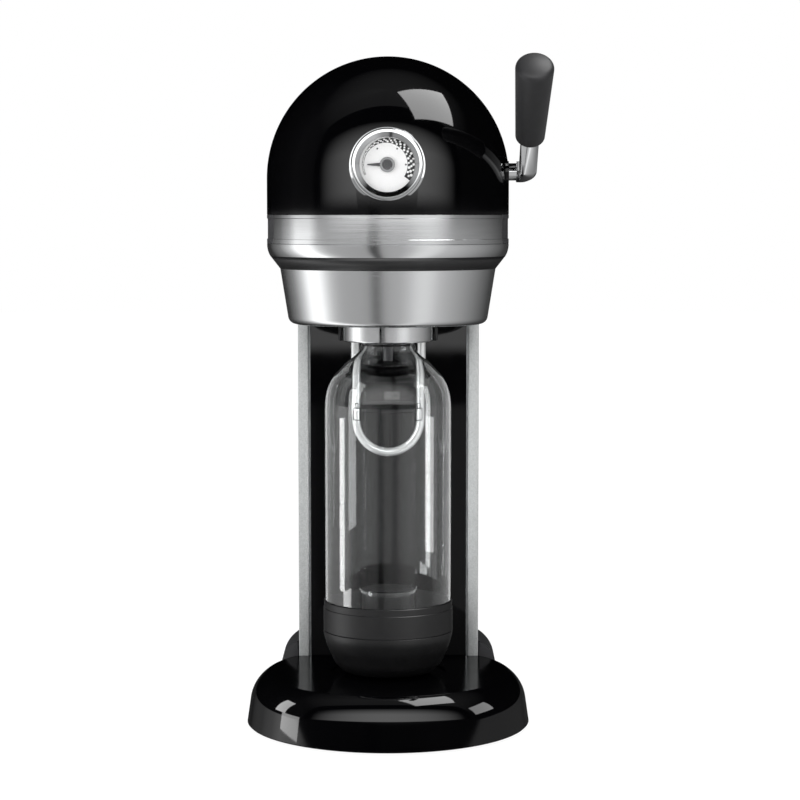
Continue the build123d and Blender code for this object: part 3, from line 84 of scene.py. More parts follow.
# Sizes that the frame's boxes don't give
DOME_WALL = 2.6 * MM
BAND_INNER = 74.0 * MM
BAND_RECESS = 0.5 * MM
BAND_TOP_RIB = 2.7 * MM
BAND_BOTTOM_RIB = 3.2 * MM
BAND_HALF_ANGLE = 69.0
BAND_TIP_GAP = 0.4 * MM
BULGE_FOOT_RADIUS = 76.0 * MM
CONE_BOTTOM_RADIUS = 64.6 * MM
CONE_ROUND = 4.2 * MM
CONE_WALL = 1.8 * MM
CONE_LIP = 4.0 * MM
BASE_WAIST_RADIUS = 90.1 * MM
BASE_WAIST_Z = 17.5 * MM
BASE_WALL = 2.6 * MM
BASE_LEDGE = 7.0 * MM
DECK_RADIUS = 79.3 * MM
REST_RADIUS = 37.5 * MM
REST_DEPTH = 1.0 * MM
EDGE_ROUND = 0.35 * MM
LIP_ROUND = 0.12 * MM
JAW_ROUND = 1.4 * MM
JAW_BORE = 14.7 * MM
JAW_STEP = 17.4 * MM
JAW_STEP_Z = 257.3 * MM
BOW_BAR = 2.85 * MM
BOW_ARC_Z = 196.0 * MM
LEVER_ANGLE = 41.0
ARM_X = 89.3 * MM
GRIP_START = 31.0 * MM
GRIP_END = 98.0 * MM
GRIP_START_RADIUS = 9.3 * MM
GRIP_END_RADIUS = 11.87 * MM
GRIP_START_ROUND = 3.0 * MM
GRIP_END_ROUND = 4.2 * MM
GRIP_END_TURN = 72
GRIP_CROWN = 1.2 * MM
BOTTLE_WALL = 1.2 * MM
BOTTLE_SHOULDER_Z = 205.7 * MM
NECK_RADIUS = 13.4 * MM
FLANGE_RADIUS = 16.8 * MM
FLANGE_TOP = 260.6 * MM
FLANGE_BOTTOM = 257.6 * MM
GROOVE_RADIUS = 14.2 * MM
NECK_BASE_Z = 250.4 * MM
ROOT_RADIUS = 17.0 * MM
ROOT_Z = 249.3 * MM
SHOULDER_TOP_RADIUS = 18.1 * MM
SHOULDER_TOP_Z = 245.6 * MM
PUNT_RADIUS = 17.5 * MM
PUNT_TOP = 89.5 * MM
CUP_SEAM_Z = 62.4 * MM
CUP_BOTTOM_RADIUS = 27.0 * MM
CUP_WALL = 2.2 * MM
CUP_GAP = 0.3 * MM
DRILL_LENGTH = 30 * MM

# Directions in a (radius, height) outline
IN, OUT, UP, DOWN = (-1, 0), (1, 0), (0, 1), (0, -1)


# Small helpers
def srgb(code):
    """An sRGB hex colour as a linear colour with full alpha."""
    parts = [int(code[place : place + 2], 16) / 255 for place in (1, 3, 5)]
    linear = [part / 12.92 if part <= 0.04045 else ((part + 0.055) / 1.055) ** 2.4 for part in parts]
    return (*linear, 1.0)


def add_node(tree, kind, values=None, links=None):
    """Adds a shader node, sets its properties and inputs by name or number, and links its inputs."""
    node = tree.nodes.new("ShaderNode" + kind)
    for key, value in (values or {}).items():
        if isinstance(key, int) or key in node.inputs:
            node.inputs[key].default_value = value
        else:
            setattr(node, key, value)
    for key, source in (links or {}).items():
        tree.links.new(source, node.inputs[key])
    return node


def arc(center, radius, start, end, steps):
    """Points on a circle from one angle to another, in degrees."""
    angles = [radians(start + (end - start) * step / steps) for step in range(steps + 1)]
    return [(center[0] + radius * cos(angle), center[1] + radius * sin(angle)) for angle in angles]


def eased(corner, start, end, by=EDGE_ROUND):
    """Two points in place of an outline's corner, offset from it towards start and end."""
    return [(corner[0] + way[0] * by, corner[1] + way[1] * by) for way in (start, end)]


def tangent_arc(start, heading, end, steps):
    """Points on the circle that leaves start along heading and passes through end."""
    start, end = Vector(start), Vector(end)
    side = Vector((-heading[1], heading[0])).normalized()
    chord = end - start
    reach = chord.length_squared / (2 * chord.dot(side))
    center = start + side * reach
    first = atan2(start.y - center.y, start.x - center.x)
    turn = atan2(end.y - center.y, end.x - center.x) - first
    while turn > pi:
        turn -= 2 * pi
    while turn < -pi:
        turn += 2 * pi
    return arc(center, abs(reach), degrees(first), degrees(first + turn), steps)


def through(points, start_heading, end_heading, steps):
    """Smooth line through the points, with its direction given at both ends."""
    places = [Vector((*point, 0)) for point in points]
    headings = [Vector((*start_heading, 0)).normalized()]
    for before, after in zip(places, places[2:]):
        headings.append((after - before).normalized())
    headings.append(Vector((*end_heading, 0)).normalized())
    line = []
    for number, (here, there) in enumerate(zip(places, places[1:])):
        pull = (there - here).length / 3
        handle_out = here + headings[number] * pull
        handle_in = there - headings[number + 1] * pull
        stretch = interpolate_bezier(here, handle_out, handle_in, there, steps)
        line += [(point.x, point.y) for point in stretch[:-1]]
    return line + [points[-1]]


# Shaping, as by hand
def begin():
    """Object mode with nothing selected."""
    if bpy.context.object and bpy.context.object.mode != "OBJECT":
        bpy.ops.object.mode_set(mode="OBJECT")
    bpy.ops.object.select_all(action="DESELECT")


def take_all():
    """Everything selected, in edit mode."""
    bpy.ops.mesh.select_all(action="SELECT")


def alone(piece):
    """Object mode with one piece selected and active."""
    begin()
    bpy.context.view_layer.objects.active = piece
    piece.select_set(True)


def edit(piece):
    """Edit mode on one piece, with all of it selected."""
    alone(piece)
    bpy.ops.object.mode_set(mode="EDIT")
    take_all()


def settle():
    """Object mode, with the active piece's place and size written into its mesh."""
    bpy.ops.object.mode_set(mode="OBJECT")
    bpy.ops.object.transform_apply(location=True, rotation=True, scale=True)


def unseen(piece, *rays):
    """Hides a piece or lamp from kinds of rays."""
    for ray in rays:
        setattr(piece, "visible_" + ray, False)


def named(name):
    """The piece that was just added, under its name."""
    piece = bpy.context.object
    piece.name = piece.data.name = name
    return piece


def pick(piece, test, kind):
    """Selects, in edit mode, the faces or vertices that pass the test."""
    mesh = bmesh.from_edit_mesh(piece.data)
    bpy.ops.mesh.select_all(action="DESELECT")
    bpy.context.tool_settings.mesh_select_mode = (kind == "verts", False, kind == "faces")
    for item in getattr(mesh, kind):
        if test(item):
            item.select_set(True)
    mesh.select_flush_mode()
    bmesh.update_edit_mesh(piece.data)


def mend():
    """Merges doubled points and turns every face outwards, in edit mode."""
    take_all()
    bpy.ops.mesh.remove_doubles(threshold=TINY / 10)
    bpy.ops.mesh.normals_make_consistent(inside=False)


def traced(name, points):
    """Line of edges through the points, left in edit mode."""
    begin()
    bpy.ops.mesh.primitive_plane_add(size=MM, location=points[0], enter_editmode=True)
    piece = named(name)
    bpy.context.tool_settings.mesh_select_mode = (True, False, False)
    take_all()
    bpy.ops.mesh.merge(type="CENTER")
    for here, there in zip(points, points[1:]):
        step = tuple(after - before for before, after in zip(here, there))
        bpy.ops.mesh.extrude_vertices_move(TRANSFORM_OT_translate={"value": step})
    take_all()
    return piece


def spun(name, outline, closed=True, steps=ROUND_STEPS, turn=360.0):
    """Turns a (radius, height) outline round the upright line through the origin."""
    stops = outline + outline[:1] if closed else outline
    piece = traced(name, [(radius, 0, height) for radius, height in stops])
    bpy.ops.mesh.remove_doubles(threshold=TINY / 10)
    take_all()
    bpy.ops.mesh.spin(steps=steps, angle=-radians(turn), center=(0, 0, 0), axis=(0, 0, 1))
    mend()
    settle()
    return piece


def trimmed(piece, point, away):
    """Cuts off what lies beyond the point in the direction away, and closes the cut."""
    edit(piece)
    bpy.ops.mesh.bisect(
        plane_co=point, plane_no=away, use_fill=True, clear_outer=True, clear_inner=False, threshold=TINY / 10
    )
    mend()
    bpy.ops.object.mode_set(mode="OBJECT")
    return piece


def drawn_back(piece, distance):
    """Moves the rear half back, with straight sides between the halves."""
    edit(piece)
    bpy.ops.mesh.bisect(plane_co=(0, TINY, 0), plane_no=(0, 1, 0), threshold=TINY / 100)
    pick(piece, lambda vertex: vertex.co.y > TINY / 2, "verts")
    bpy.ops.transform.translate(value=(0, distance, 0))
    take_all()
    bpy.ops.mesh.normals_make_consistent(inside=False)
    bpy.ops.object.mode_set(mode="OBJECT")
    return piece


def bar(name, low, high, round_by):
    """Block between two corners, with every edge rounded."""
    begin()
    low, high = Vector(low), Vector(high)
    bpy.ops.mesh.primitive_cube_add(size=1, location=(low + high) / 2, scale=high - low, enter_editmode=True)
    piece = named(name)
    settle()
    edit(piece)
    bpy.ops.mesh.bevel(offset=round_by, segments=3, affect="EDGES")
    bpy.ops.object.mode_set(mode="OBJECT")
    return piece


def applied(piece, kind, **settings):
    """Adds a modifier with its settings and applies it."""
    alone(piece)
    modifier = piece.modifiers.new(kind.title(), kind)
    for key, value in settings.items():
        setattr(modifier, key, value)
    bpy.ops.object.modifier_apply(modifier=modifier.name)
    return piece


def placed(piece, matrix):
    """Turns and moves a piece that was made at the origin, and applies its place."""
    alone(piece)
    piece.matrix_world = matrix
    settle()
    return piece


def drilled(piece, center, direction, radius):
    """Bores a round hole that runs both ways from its centre."""
    begin()
    bpy.ops.mesh.primitive_cylinder_add(
        vertices=FINE_STEPS * 2, radius=radius, depth=DRILL_LENGTH, location=center
    )
    drill = bpy.context.object
    drill.rotation_mode = "QUATERNION"
    drill.rotation_quaternion = Vector(direction).to_track_quat("Z", "Y")
    settle()
    applied(piece, "BOOLEAN", object=drill, operation="DIFFERENCE", solver="EXACT")
    bpy.data.objects.remove(drill)
    return piece


def copy_of(node):
    """Merged copy of a frame node's mesh, for a smooth finish."""
    piece = bpy.data.objects.new(node + "_skin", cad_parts[node].data.copy())
    bpy.context.scene.collection.objects.link(piece)
    edit(piece)
    bpy.ops.mesh.remove_doubles(threshold=TINY / 10)
    bpy.ops.object.mode_set(mode="OBJECT")
    return piece


def joined(name, parts):
    """Several pieces as one mesh."""
    begin()
    for part in parts:
        part.select_set(True)
    bpy.context.view_layer.objects.active = parts[0]
    bpy.ops.object.join()
    return named(name)


def finished(piece, material, nodes=(), body="machine", crease=32.0):
    """Smooths and paints a piece, puts it on its body and hides the frame nodes it takes the place of."""
    alone(piece)
    bpy.ops.object.shade_smooth_by_angle(angle=radians(crease))
    piece.data.materials.clear()
    piece.data.materials.append(material)
    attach(piece, body)
    if nodes:
        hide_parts(*nodes)
    return piece


def recoated(node, material, body="machine", crease=32.0):
    """A frame node's own shape as a smooth piece of the scene."""
    return finished(copy_of(node), material, [node], body, crease)


# Materials
# Range of the noise over which a colour or a number goes from one end to the other
NOISE_SPAN = (0.3, 0.7)
# Grey levels of the printed scale over a turn, which starts below its right end
SCALE_TONES = ((0.07, "#c4c4c4"), (0.2, "#151516"), (0.82, "#151516"))


def new_material(name, slot, colour, roughness, metallic=0.0, **sockets):
    """Principled material with its plain settings; returns it with its tree and shader."""
    material = bpy.data.materials.new(name)
    material.use_nodes = True
    material["slot"] = slot
    tree = material.node_tree
    shader = tree.nodes["Principled BSDF"]
    shader.inputs["Base Color"].default_value = srgb(colour)
    shader.inputs["Roughness"].default_value = roughness
    shader.inputs["Metallic"].default_value = metallic
    for key, value in sockets.items():
        shader.inputs[key.replace("_", " ")].default_value = value
    return material, tree, shader


def grain(tree, size, detail=3.0, stretch=(1, 1, 1)):
    """Noise whose grains are about the given size, stretched along axes by the given factors."""
    place = add_node(tree, "TexCoord")
    scale = tuple(1 / factor for factor in stretch)
    mapping = add_node(tree, "Mapping", {"Scale": scale}, {"Vector": place.outputs["Object"]})
    values = {"Scale": 1 / size, "Detail": detail, "Roughness": 0.55}
    return add_node(tree, "TexNoise", values, {"Vector": mapping.outputs["Vector"]})


def relief(tree, shader, noise, depth):
    """Surface relief of the given depth from a noise."""
    values = {"Strength": 1.0, "Distance": depth}
    bump = add_node(tree, "Bump", values, {"Height": noise.outputs["Fac"]})
    tree.links.new(bump.outputs["Normal"], shader.inputs["Normal"])


def ranged(tree, source, low, high, start, end, shape="LINEAR"):
    """Number that runs from start to end as the source runs from low to high."""
    values = {"From Min": low, "From Max": high, "To Min": start, "To Max": end, "interpolation_type": shape}
    return add_node(tree, "MapRange", values, {"Value": source}).outputs["Result"]


def spread(tree, shader, noise, socket, low, high):
    """Lets a number on the shader vary between two values with the noise."""
    result = ranged(tree, noise.outputs["Fac"], *NOISE_SPAN, low, high)
    tree.links.new(result, shader.inputs[socket])


def tinted(tree, shader, noise, dark, light):
    """Lets the base colour vary between two colours with the noise."""
    ramp = add_node(tree, "ValToRGB", links={"Fac": noise.outputs["Fac"]})
    for stop, place, colour in zip(ramp.color_ramp.elements, NOISE_SPAN, (dark, light)):
        stop.position = place
        stop.color = srgb(colour)
    tree.links.new(ramp.outputs["Color"], shader.inputs["Base Color"])


def turn_share(tree, place, **values):
    """Share of a turn round one axis, which the mapping's values stand upright."""
    flat = add_node(tree, "Mapping", values, {"Vector": place})
    links = {"Vector": flat.outputs["Vector"]}
    return add_node(tree, "TexGradient", {"gradient_type": "RADIAL"}, links).outputs["Fac"]


def lacquered_black():
    """Die-cast shell in deep black lacquer: mirror gloss with a trace of orange peel."""
    material, tree, shader = new_material(
        "lacquered_black", "gloss_black_enamel", "#030304", 0.04, Specular_IOR_Level=0.35
    )
    peel = grain(tree, 2.4 * MM, detail=1.0)
    relief(tree, shader, peel, 0.001 * MM)
    haze = grain(tree, 30 * MM, detail=2.0)
    spread(tree, shader, haze, "Roughness", 0.035, 0.055)
    return material


def deck_black():
    """Pressed deck plate in satin-gloss black: softer reflections than the shell round it."""
    material, tree, shader = new_material(
        "deck_black", "gloss_black_enamel", "#030304", 0.14, Specular_IOR_Level=0.08
    )
    haze = grain(tree, 20 * MM, detail=2.0)
    spread(tree, shader, haze, "Roughness", 0.12, 0.17)
    return material


def polished_black_plastic():
    """Moulded ABS polished in the tool: black, with a sharper mirror than the lacquer."""
    material, tree, shader = new_material(
        "polished_black_plastic", "gloss_black_plastic", "#040405", 0.05, Specular_IOR_Level=0.2
    )
    ripple = grain(tree, 14 * MM, detail=1.0)
    relief(tree, shader, ripple, 0.006 * MM)
    spread(tree, shader, ripple, "Roughness", 0.04, 0.065)
    return material


def lined_steel(name, colour, roughness, size, along, depth, range_low, range_high, detail=2.0):
    """Steel with level lines round the head; their width and depth are in millimetres."""
    material, tree, shader = new_material(name, "brushed_steel", colour, roughness, 1.0)
    lines = grain(tree, size * MM, detail=detail, stretch=(along, along, 1))
    relief(tree, shader, lines, depth * MM)
    spread(tree, shader, lines, "Roughness", range_low, range_high)
    return material


def blasted_aluminium():
    """Extruded aluminium, glass-bead blasted: light and faintly mottled."""
    material, tree, shader = new_material("blasted_aluminium", "satin_aluminium", "#b2b4b3", 0.5, 0.3)
    mottle = grain(tree, 0.8 * MM, detail=2.0)
    tinted(tree, shader, mottle, "#aaacac", "#bfc1c1")
    spread(tree, shader, mottle, "Roughness", 0.42, 0.52)
    relief(tree, shader, mottle, 0.004 * MM)
    return material


def bright_plate(name, colour, roughness, range_low, range_high, metallic=1.0):
    """Plated metal with a trace of haze."""
    material, tree, shader = new_material(name, "chrome", colour, roughness, metallic)
    haze = grain(tree, 6 * MM, detail=2.0)
    spread(tree, shader, haze, "Roughness", range_low, range_high)
    return material


def clear_bottle_plastic():
    """Blown PET: water-clear, with a smooth skin."""
    material, tree, shader = new_material(
        "clear_bottle_plastic", "clear_plastic", "#fafbfb", 0.02, IOR=1.4, Transmission_Weight=1.0
    )
    flow = grain(tree, 18 * MM, detail=1.0, stretch=(1, 1, 3))
    relief(tree, shader, flow, 0.01 * MM)
    return material


def window_glass():
    """Flat gauge glass: clear, with a sharp reflection."""
    material, tree, shader = new_material("gauge_window_glass", "window_glass", "#101214", 0.02, Alpha=0.06)
    spread(tree, shader, grain(tree, 12 * MM, detail=1.0), "Roughness", 0.01, 0.03)
    return material


def moulded(name, slot, dark, light, roughness, grit=0.5):
    """Injection-moulded plastic with a fine spark-eroded texture."""
    material, tree, shader = new_material(name, slot, light, roughness)
    cloud = grain(tree, 9 * MM, detail=3.0)
    tinted(tree, shader, cloud, dark, light)
    texture = grain(tree, grit * MM, detail=2.0)
    relief(tree, shader, texture, 0.02 * MM)
    spread(tree, shader, texture, "Roughness", roughness - 0.04, roughness + 0.05)
    return material


def soft_touch_grip():
    """Thermoplastic rubber moulded over the arm: dull, with a dusty bloom."""
    material, tree, shader = new_material(
        "soft_touch_grip", "soft_grip", "#131315", 0.5, Sheen_Weight=0.1, Sheen_Roughness=0.5
    )
    bloom = grain(tree, 5 * MM, detail=4.0)
    tinted(tree, shader, bloom, "#101011", "#17171a")
    relief(tree, shader, grain(tree, 0.45 * MM, detail=2.0), 0.03 * MM)
    return material


def plated(name, slot, dark, light, roughness):
    """Plated or bare metal with a faintly cloudy surface."""
    material, tree, shader = new_material(name, slot, light, roughness, 1.0)
    cloud = grain(tree, 5 * MM, detail=4.0)
    tinted(tree, shader, cloud, dark, light)
    spread(tree, shader, cloud, "Roughness", roughness - 0.06, roughness + 0.08)
    return material


def dial_card():
    """Printed dial: white lacquer on tinplate, with a faint painted glow: a weak white emission that lifts the
    shade the bezel casts on it.
    """
    # The emission is painted light: the dial and the bubbles printed with it glow faintly though they are no
    # lamp.
    material, tree, shader = new_material(
        "dial_card", "dial_white", "#f8f8f8", 0.5, Emission_Color=srgb("#ffffff"), Emission_Strength=0.12
    )
    tinted(tree, shader, grain(tree, 4 * MM, detail=2.0), "#f6f6f6", "#fbfbfb")
    relief(tree, shader, grain(tree, 0.6 * MM, detail=1.0), 0.004 * MM)
    return material


def printed_scale():
    """Dial's printed band: pale grey where it starts, black from its upper left on."""
    material, tree, shader = new_material("printed_scale", "dark_grey_plastic", "#151516", 0.5)
    place = add_node(tree, "TexCoord").outputs["Object"]
    middle = (-gauge_center.x, -gauge_center.z, 0)
    around = turn_share(tree, place, Rotation=(radians(-90), 0, 0), Location=middle)
    ramp = add_node(tree, "ValToRGB", links={"Fac": around})
    stops = ramp.color_ramp.elements
    for stop in stops:
        stop.color = srgb("#a0a0a0")
    for share, tone in SCALE_TONES:
        stops.new(share).color = srgb(tone)
    tree.links.new(ramp.outputs["Color"], shader.inputs["Base Color"])
    relief(tree, shader, grain(tree, 0.6 * MM, detail=1.0), 0.004 * MM)
    return material


lacquer = lacquered_black()
deck_paint = deck_black()
gloss_plastic = polished_black_plastic()
# Brushed stainless: fine level lines, a soft stretched sheen. The real lines are about 0.1 mm wide
# and are drawn at 0.35 mm so that they show
brushed = lined_steel("brushed_stainless", "#d0d1d2", 0.22, 0.35, 120, 0.0016, 0.18, 0.26, detail=3.0)
# Stainless strip polished after brushing: the lines are almost gone
band_steel = lined_steel("polished_band_steel", "#d2d3d4", 0.12, 0.35, 120, 0.0005, 0.1, 0.14)
# Turned steel with a satin finish: smoother than the brushed skirt
satin_steel = lined_steel("satin_jaw_steel", "#d8d9da", 0.16, 0.4, 80, 0.0008, 0.13, 0.2)
aluminium = blasted_aluminium()
# Chrome plate over steel or zinc: a mirror with hardly any haze
chrome = bright_plate("polished_chrome", "#e6e7e8", 0.06, 0.04, 0.09)
# Bent rod with a satin chrome plate: bright, with soft reflections
bow_chrome = bright_plate("satin_chrome", "#f6f7f7", 0.24, 0.2, 0.28, metallic=0.6)
# Turned brass with a dark bright-nickel plate: a mirror a shade deeper than chrome
bezel_chrome = bright_plate("bezel_plating", "#b4b5b6", 0.08, 0.06, 0.1)
clear_plastic = clear_bottle_plastic()
gauge_window = window_glass()
grip_rubber = soft_touch_grip()
dial_white = dial_card()
black_plastic = moulded("satin_black_plastic", "black_plastic", "#161617", "#1b1b1c", 0.38)
rear_grey = moulded("rear_grey_plastic", "dark_grey_plastic", "#343436", "#3c3c3e", 0.36)
charcoal = moulded("charcoal_cup_plastic", "charcoal_plastic", "#101011", "#141415", 0.38)
pad_rubber = moulded("pad_rubber", "rubber", "#1a1a1a", "#212121", 0.7)
white_plastic = moulded("white_plastic", "white_plastic", "#d9d9d6", "#e6e6e3", 0.4)
print_black = moulded("dial_print_black", "dark_grey_plastic", "#141415", "#19191a", 0.5, grit=0.8)
scale_print = printed_scale()
needle_grey = moulded("needle_grey", "dark_grey_plastic", "#38383a", "#434345", 0.45, grit=0.8)
hub_grey = moulded("hub_grey", "dark_grey_plastic", "#8e8f90", "#9c9d9e", 0.4, grit=0.8)
print_grey = moulded("bottle_print_grey", "dark_grey_plastic", "#1c1c1e", "#232325", 0.5, grit=0.8)
zinc = plated("zinc_plated_steel", "zinc_steel", "#8f9293", "#b4b7b8", 0.35)
brass = plated("machined_brass", "brass", "#b08a45", "#d2ac62", 0.3)
cylinder_paint = moulded("cylinder_paint", "cylinder_enamel", "#7d8388", "#8b9196", 0.3)

# CAD nodes that show as they are
node_finish = (
    (black_plastic, "base_underside head_floor gauge_housing"),
    (pad_rubber, "rubber_feet bottle_seal"),
    (zinc, "base_screws column_chassis seat_bridge mechanism_frame"),
    (zinc, "return_spring press_cam push_spring holder_bracket"),
    (brass, "cylinder_seat pressure_pipe gas_valve relief_valve cylinder_valve"),
    (cylinder_paint, "gas_cylinder"),
    (white_plastic, "shaft_bush_left shaft_bush_right gas_tube"),
    (chrome, "push_pin hinge_pins jaw_pins"),
    (rear_grey, "nozzle"),
)
for material, names in node_finish:
    for node in names.split():
        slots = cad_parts[node].data.materials
        slots.clear()
        slots.append(material)


# Dome: a lacquered shell with a round front, straight ridge and round back
GAUGE_HOLE_MARGIN = 2.3 * MM
COLLAR_LAP = 1.2 * MM


def make_dome():
    crown = arc((0, dome_spring), head_radius, 0, 90, 48)
    skin = spun("dome_look", [(head_radius, band_high.z)] + crown, closed=False)
    drawn_back(skin, head_back)
    applied(skin, "SOLIDIFY", thickness=DOME_WALL, offset=-1)
    gauge_hole = (dial_high.x - dial_low.x) / 2 + GAUGE_HOLE_MARGIN
    drilled(skin, gauge_center, (0, 1, 0), gauge_hole)
    shaft_hole = (collar_high.z - collar_low.z) / 2 - COLLAR_LAP
    drilled(skin, (head_radius, shaft_center.y, shaft_center.z), (1, 0, 0), shaft_hole)
    finished(skin, lacquer, ["dome_shell"])


# Trim band: two ribs and a recessed flat between them, steel in front and grey behind
def band_outline():
    low, high = band_low.z, band_high.z
    lower, upper = low + BAND_BOTTOM_RIB, high - BAND_TOP_RIB
    outline = [(BAND_INNER, low), *eased((head_radius, low), IN, UP)]
    outline += eased((head_radius, lower), DOWN, IN, LIP_ROUND)
    outline += [(head_radius - BAND_RECESS, lower), (head_radius - BAND_RECESS, upper)]
    outline += eased((head_radius, upper), IN, UP) + eased((head_radius, high), DOWN, IN)
    return outline + [(BAND_INNER, high)]


def make_bands():
    piece = spun("front_band_look", band_outline())
    half = radians(BAND_HALF_ANGLE)
    for side in (-1, 1):
        away = Vector((side * cos(half), sin(half), 0))
        trimmed(piece, -away * BAND_TIP_GAP, away)
    finished(piece, band_steel, ["trim_band_front"])
    piece = spun("rear_band_look", band_outline())
    drawn_back(piece, head_back)
    trimmed(piece, (0, -head_radius * cos(half), 0), (0, -1, 0))
    finished(piece, rear_grey, ["trim_band_rear"])


# Bulge ring: steel, curving in under the band
def make_bulge_ring():
    side = [(head_radius, bulge_high.z), (head_radius, bulge_high.z - BAND_RECESS)]
    curve = tangent_arc(side[1], DOWN, (BULGE_FOOT_RADIUS, bulge_low.z), 10)
    inner = [(BAND_INNER, bulge_low.z), (BAND_INNER, bulge_high.z)]
    piece = spun("bulge_ring_look", side + curve[1:] + inner)
    drawn_back(piece, head_back)
    finished(piece, band_steel, ["bulge_ring"])


# Cone: brushed skirt with a rounded lower edge
def make_cone():
    top = (cone_high.x, cone_high.z)
    start = (CONE_BOTTOM_RADIUS, cone_low.z + CONE_ROUND)
    lip = (CONE_BOTTOM_RADIUS - CONE_ROUND, cone_low.z)
    heading = (start[0] - top[0], start[1] - top[1])
    outline = [top] + tangent_arc(start, heading, lip, 12)
    lip_end, lip_top = lip[0] - CONE_LIP, lip[1] + CONE_WALL
    outline += [(lip_end, lip[1]), (lip_end, lip_top), (lip[0], lip_top)]
    outline += [(start[0] - CONE_WALL, start[1]), (top[0] - CONE_WALL, top[1])]
    piece = spun("cone_look", outline)
    trimmed(piece, (0, cut_y, 0), (0, 1, 0))
    finished(piece, brushed, ["steel_cone"])


# Round base: lacquered ring with a rounded shoulder, and its mirror-gloss deck
def make_base():
    start = (BASE_WAIST_RADIUS, BASE_WAIST_Z)
    foot = (base_high.x, base_low.z)
    shoulder = tangent_arc(start, (start[0] - foot[0], start[1] - foot[1]), (DECK_RADIUS, base_high.z), 24)
    outline = [(foot[0] - 2 * EDGE_ROUND, foot[1]), (foot[0], foot[1] + 2 * EDGE_ROUND)] + shoulder
    ledge, ledge_low = DECK_RADIUS - BASE_LEDGE, deck_low.z - BASE_WALL
    outline += [(DECK_RADIUS, deck_low.z), (ledge, deck_low.z), (ledge, ledge_low), (DECK_RADIUS, ledge_low)]
    outline += [(BASE_WAIST_RADIUS - BASE_WALL, BASE_WAIST_Z), (base_high.x - BASE_WALL, base_low.z)]
    shell = spun("base_look", outline)
    trimmed(shell, (0, cut_y, 0), (0, 1, 0))
    finished(shell, lacquer, ["base_shell"])
    edge = deck_high.x
    outline = [(0, deck_high.z - REST_DEPTH), (REST_RADIUS - EDGE_ROUND, deck_high.z - REST_DEPTH)]
    outline += eased((REST_RADIUS, deck_high.z), DOWN, OUT) + eased((edge, deck_high.z), IN, DOWN)
    outline += [(edge, deck_low.z), (0, deck_low.z)]
    plate = spun("deck_look", outline, closed=False)
    trimmed(plate, (0, cut_y, 0), (0, 1, 0))
    finished(plate, deck_paint, ["deck_plate"])


# Column: gloss panel between two blasted rails, and the grey covers behind
def make_column():
    panel = bar("front_panel_look", panel_low, panel_high, EDGE_ROUND)
    finished(panel, gloss_plastic, ["column_front_panel"])
    for side in ("left", "right"):
        low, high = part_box("side_rail_" + side)
        rail = bar("rail_look_" + side, low, high, 2 * EDGE_ROUND)
        finished(rail, aluminium, ["side_rail_" + side])
    recoated("rear_foot", rear_grey)
    recoated("rear_cover", rear_grey, "rear_cover")
    recoated("cover_button", black_plastic, "cover_button")


# Head's plastic pieces
def make_head_trim():
    recoated("head_tray", black_plastic)
    recoated("shaft_collar", gloss_plastic)


# Push spring: a wound coil. The real one shortens as the pin goes down; this coil keeps its length.
SPRING_WIRE = 0.7 * MM
SPRING_TURNS = 6


def make_push_spring():
    spring_low, spring_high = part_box("push_spring")
    middle = (spring_low + spring_high) / 2
    anchor = (middle.x, middle.y, spring_low.z)
    tall = spring_high.z - spring_low.z
    begin()
    bpy.ops.mesh.primitive_circle_add(
        vertices=12, radius=SPRING_WIRE, rotation=(radians(90), 0, 0),
        location=(spring_high.x - middle.x - SPRING_WIRE, 0, SPRING_WIRE),
    )
    piece = named("push_spring_look")
    settle()
    rise = tall - 2 * SPRING_WIRE
    applied(piece, "SCREW", angle=2 * pi * SPRING_TURNS, screw_offset=rise, steps=24 * SPRING_TURNS)
    bpy.ops.object.mode_set(mode="EDIT")
    bpy.ops.mesh.select_all(action="DESELECT")
    bpy.context.tool_settings.mesh_select_mode = (False, True, False)
    bpy.ops.mesh.select_non_manifold()
    bpy.ops.mesh.edge_face_add()
    mend()
    bpy.ops.object.mode_set(mode="OBJECT")
    placed(piece, Matrix.Translation(anchor))
    finished(piece, zinc, ["push_spring"])
    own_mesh(piece)


# Holder, jaws and rest bow
def make_holder():
    recoated("holder_body", black_plastic, "holder")
    outer = jaw_right_high.x
    outline = [
        (JAW_BORE, jaw_low.z),
        *arc((outer - JAW_ROUND, jaw_low.z + JAW_ROUND), JAW_ROUND, -90, 0, 8),
        *eased((outer, jaw_high.z), DOWN, IN),
        (JAW_STEP, jaw_high.z),
        (JAW_STEP, JAW_STEP_Z),
        (JAW_BORE, JAW_STEP_Z),
    ]
    for side, name, slit_x in ((-1, "left", jaw_high.x), (1, "right", jaw_right_low.x)):
        jaw = spun("jaw_look_" + name, outline)
        trimmed(jaw, (slit_x, 0, 0), (-side, 0, 0))
        finished(jaw, satin_steel, ["collar_jaw_" + name], "jaw_" + name)


def make_bow():
    begin()
    leg_x = bow_high.x - BOW_BAR
    bow_y = (bow_low.y + bow_high.y) / 2
    bpy.ops.mesh.primitive_circle_add(
        vertices=48, radius=BOW_BAR, fill_type="NGON", location=(-leg_x, bow_y, bow_high.z), enter_editmode=True
    )
    piece = named("bow_look")
    drop = (0, 0, BOW_ARC_Z - bow_high.z)
    take_all()
    bpy.ops.mesh.extrude_region_move(TRANSFORM_OT_translate={"value": drop})
    bpy.ops.mesh.spin(steps=FINE_STEPS, angle=pi, center=(0, bow_y, BOW_ARC_Z), axis=(0, 1, 0))
    rise = (0, 0, bow_high.z - BOW_ARC_Z)
    bpy.ops.mesh.extrude_region_move(TRANSFORM_OT_translate={"value": rise})
    mend()
    settle()
    finished(piece, bow_chrome, ["rest_bow"], "holder")


# Bottle: clear hollow body, and the cup under it
# Points on the way from the neck's root to the straight wall, as shares of the way out and down, and
# on the bowl's way up, as shares of the way out and up
SHOULDER_SHARES = ((0.134, 0.093), (0.36, 0.2), (0.62, 0.36), (0.8, 0.475), (0.955, 0.7))
BOWL_SHARES = ((0.46, 0.17), (0.69, 0.41), (0.865, 0.65))
SHOULDER_HEADING = (0.45, -1)
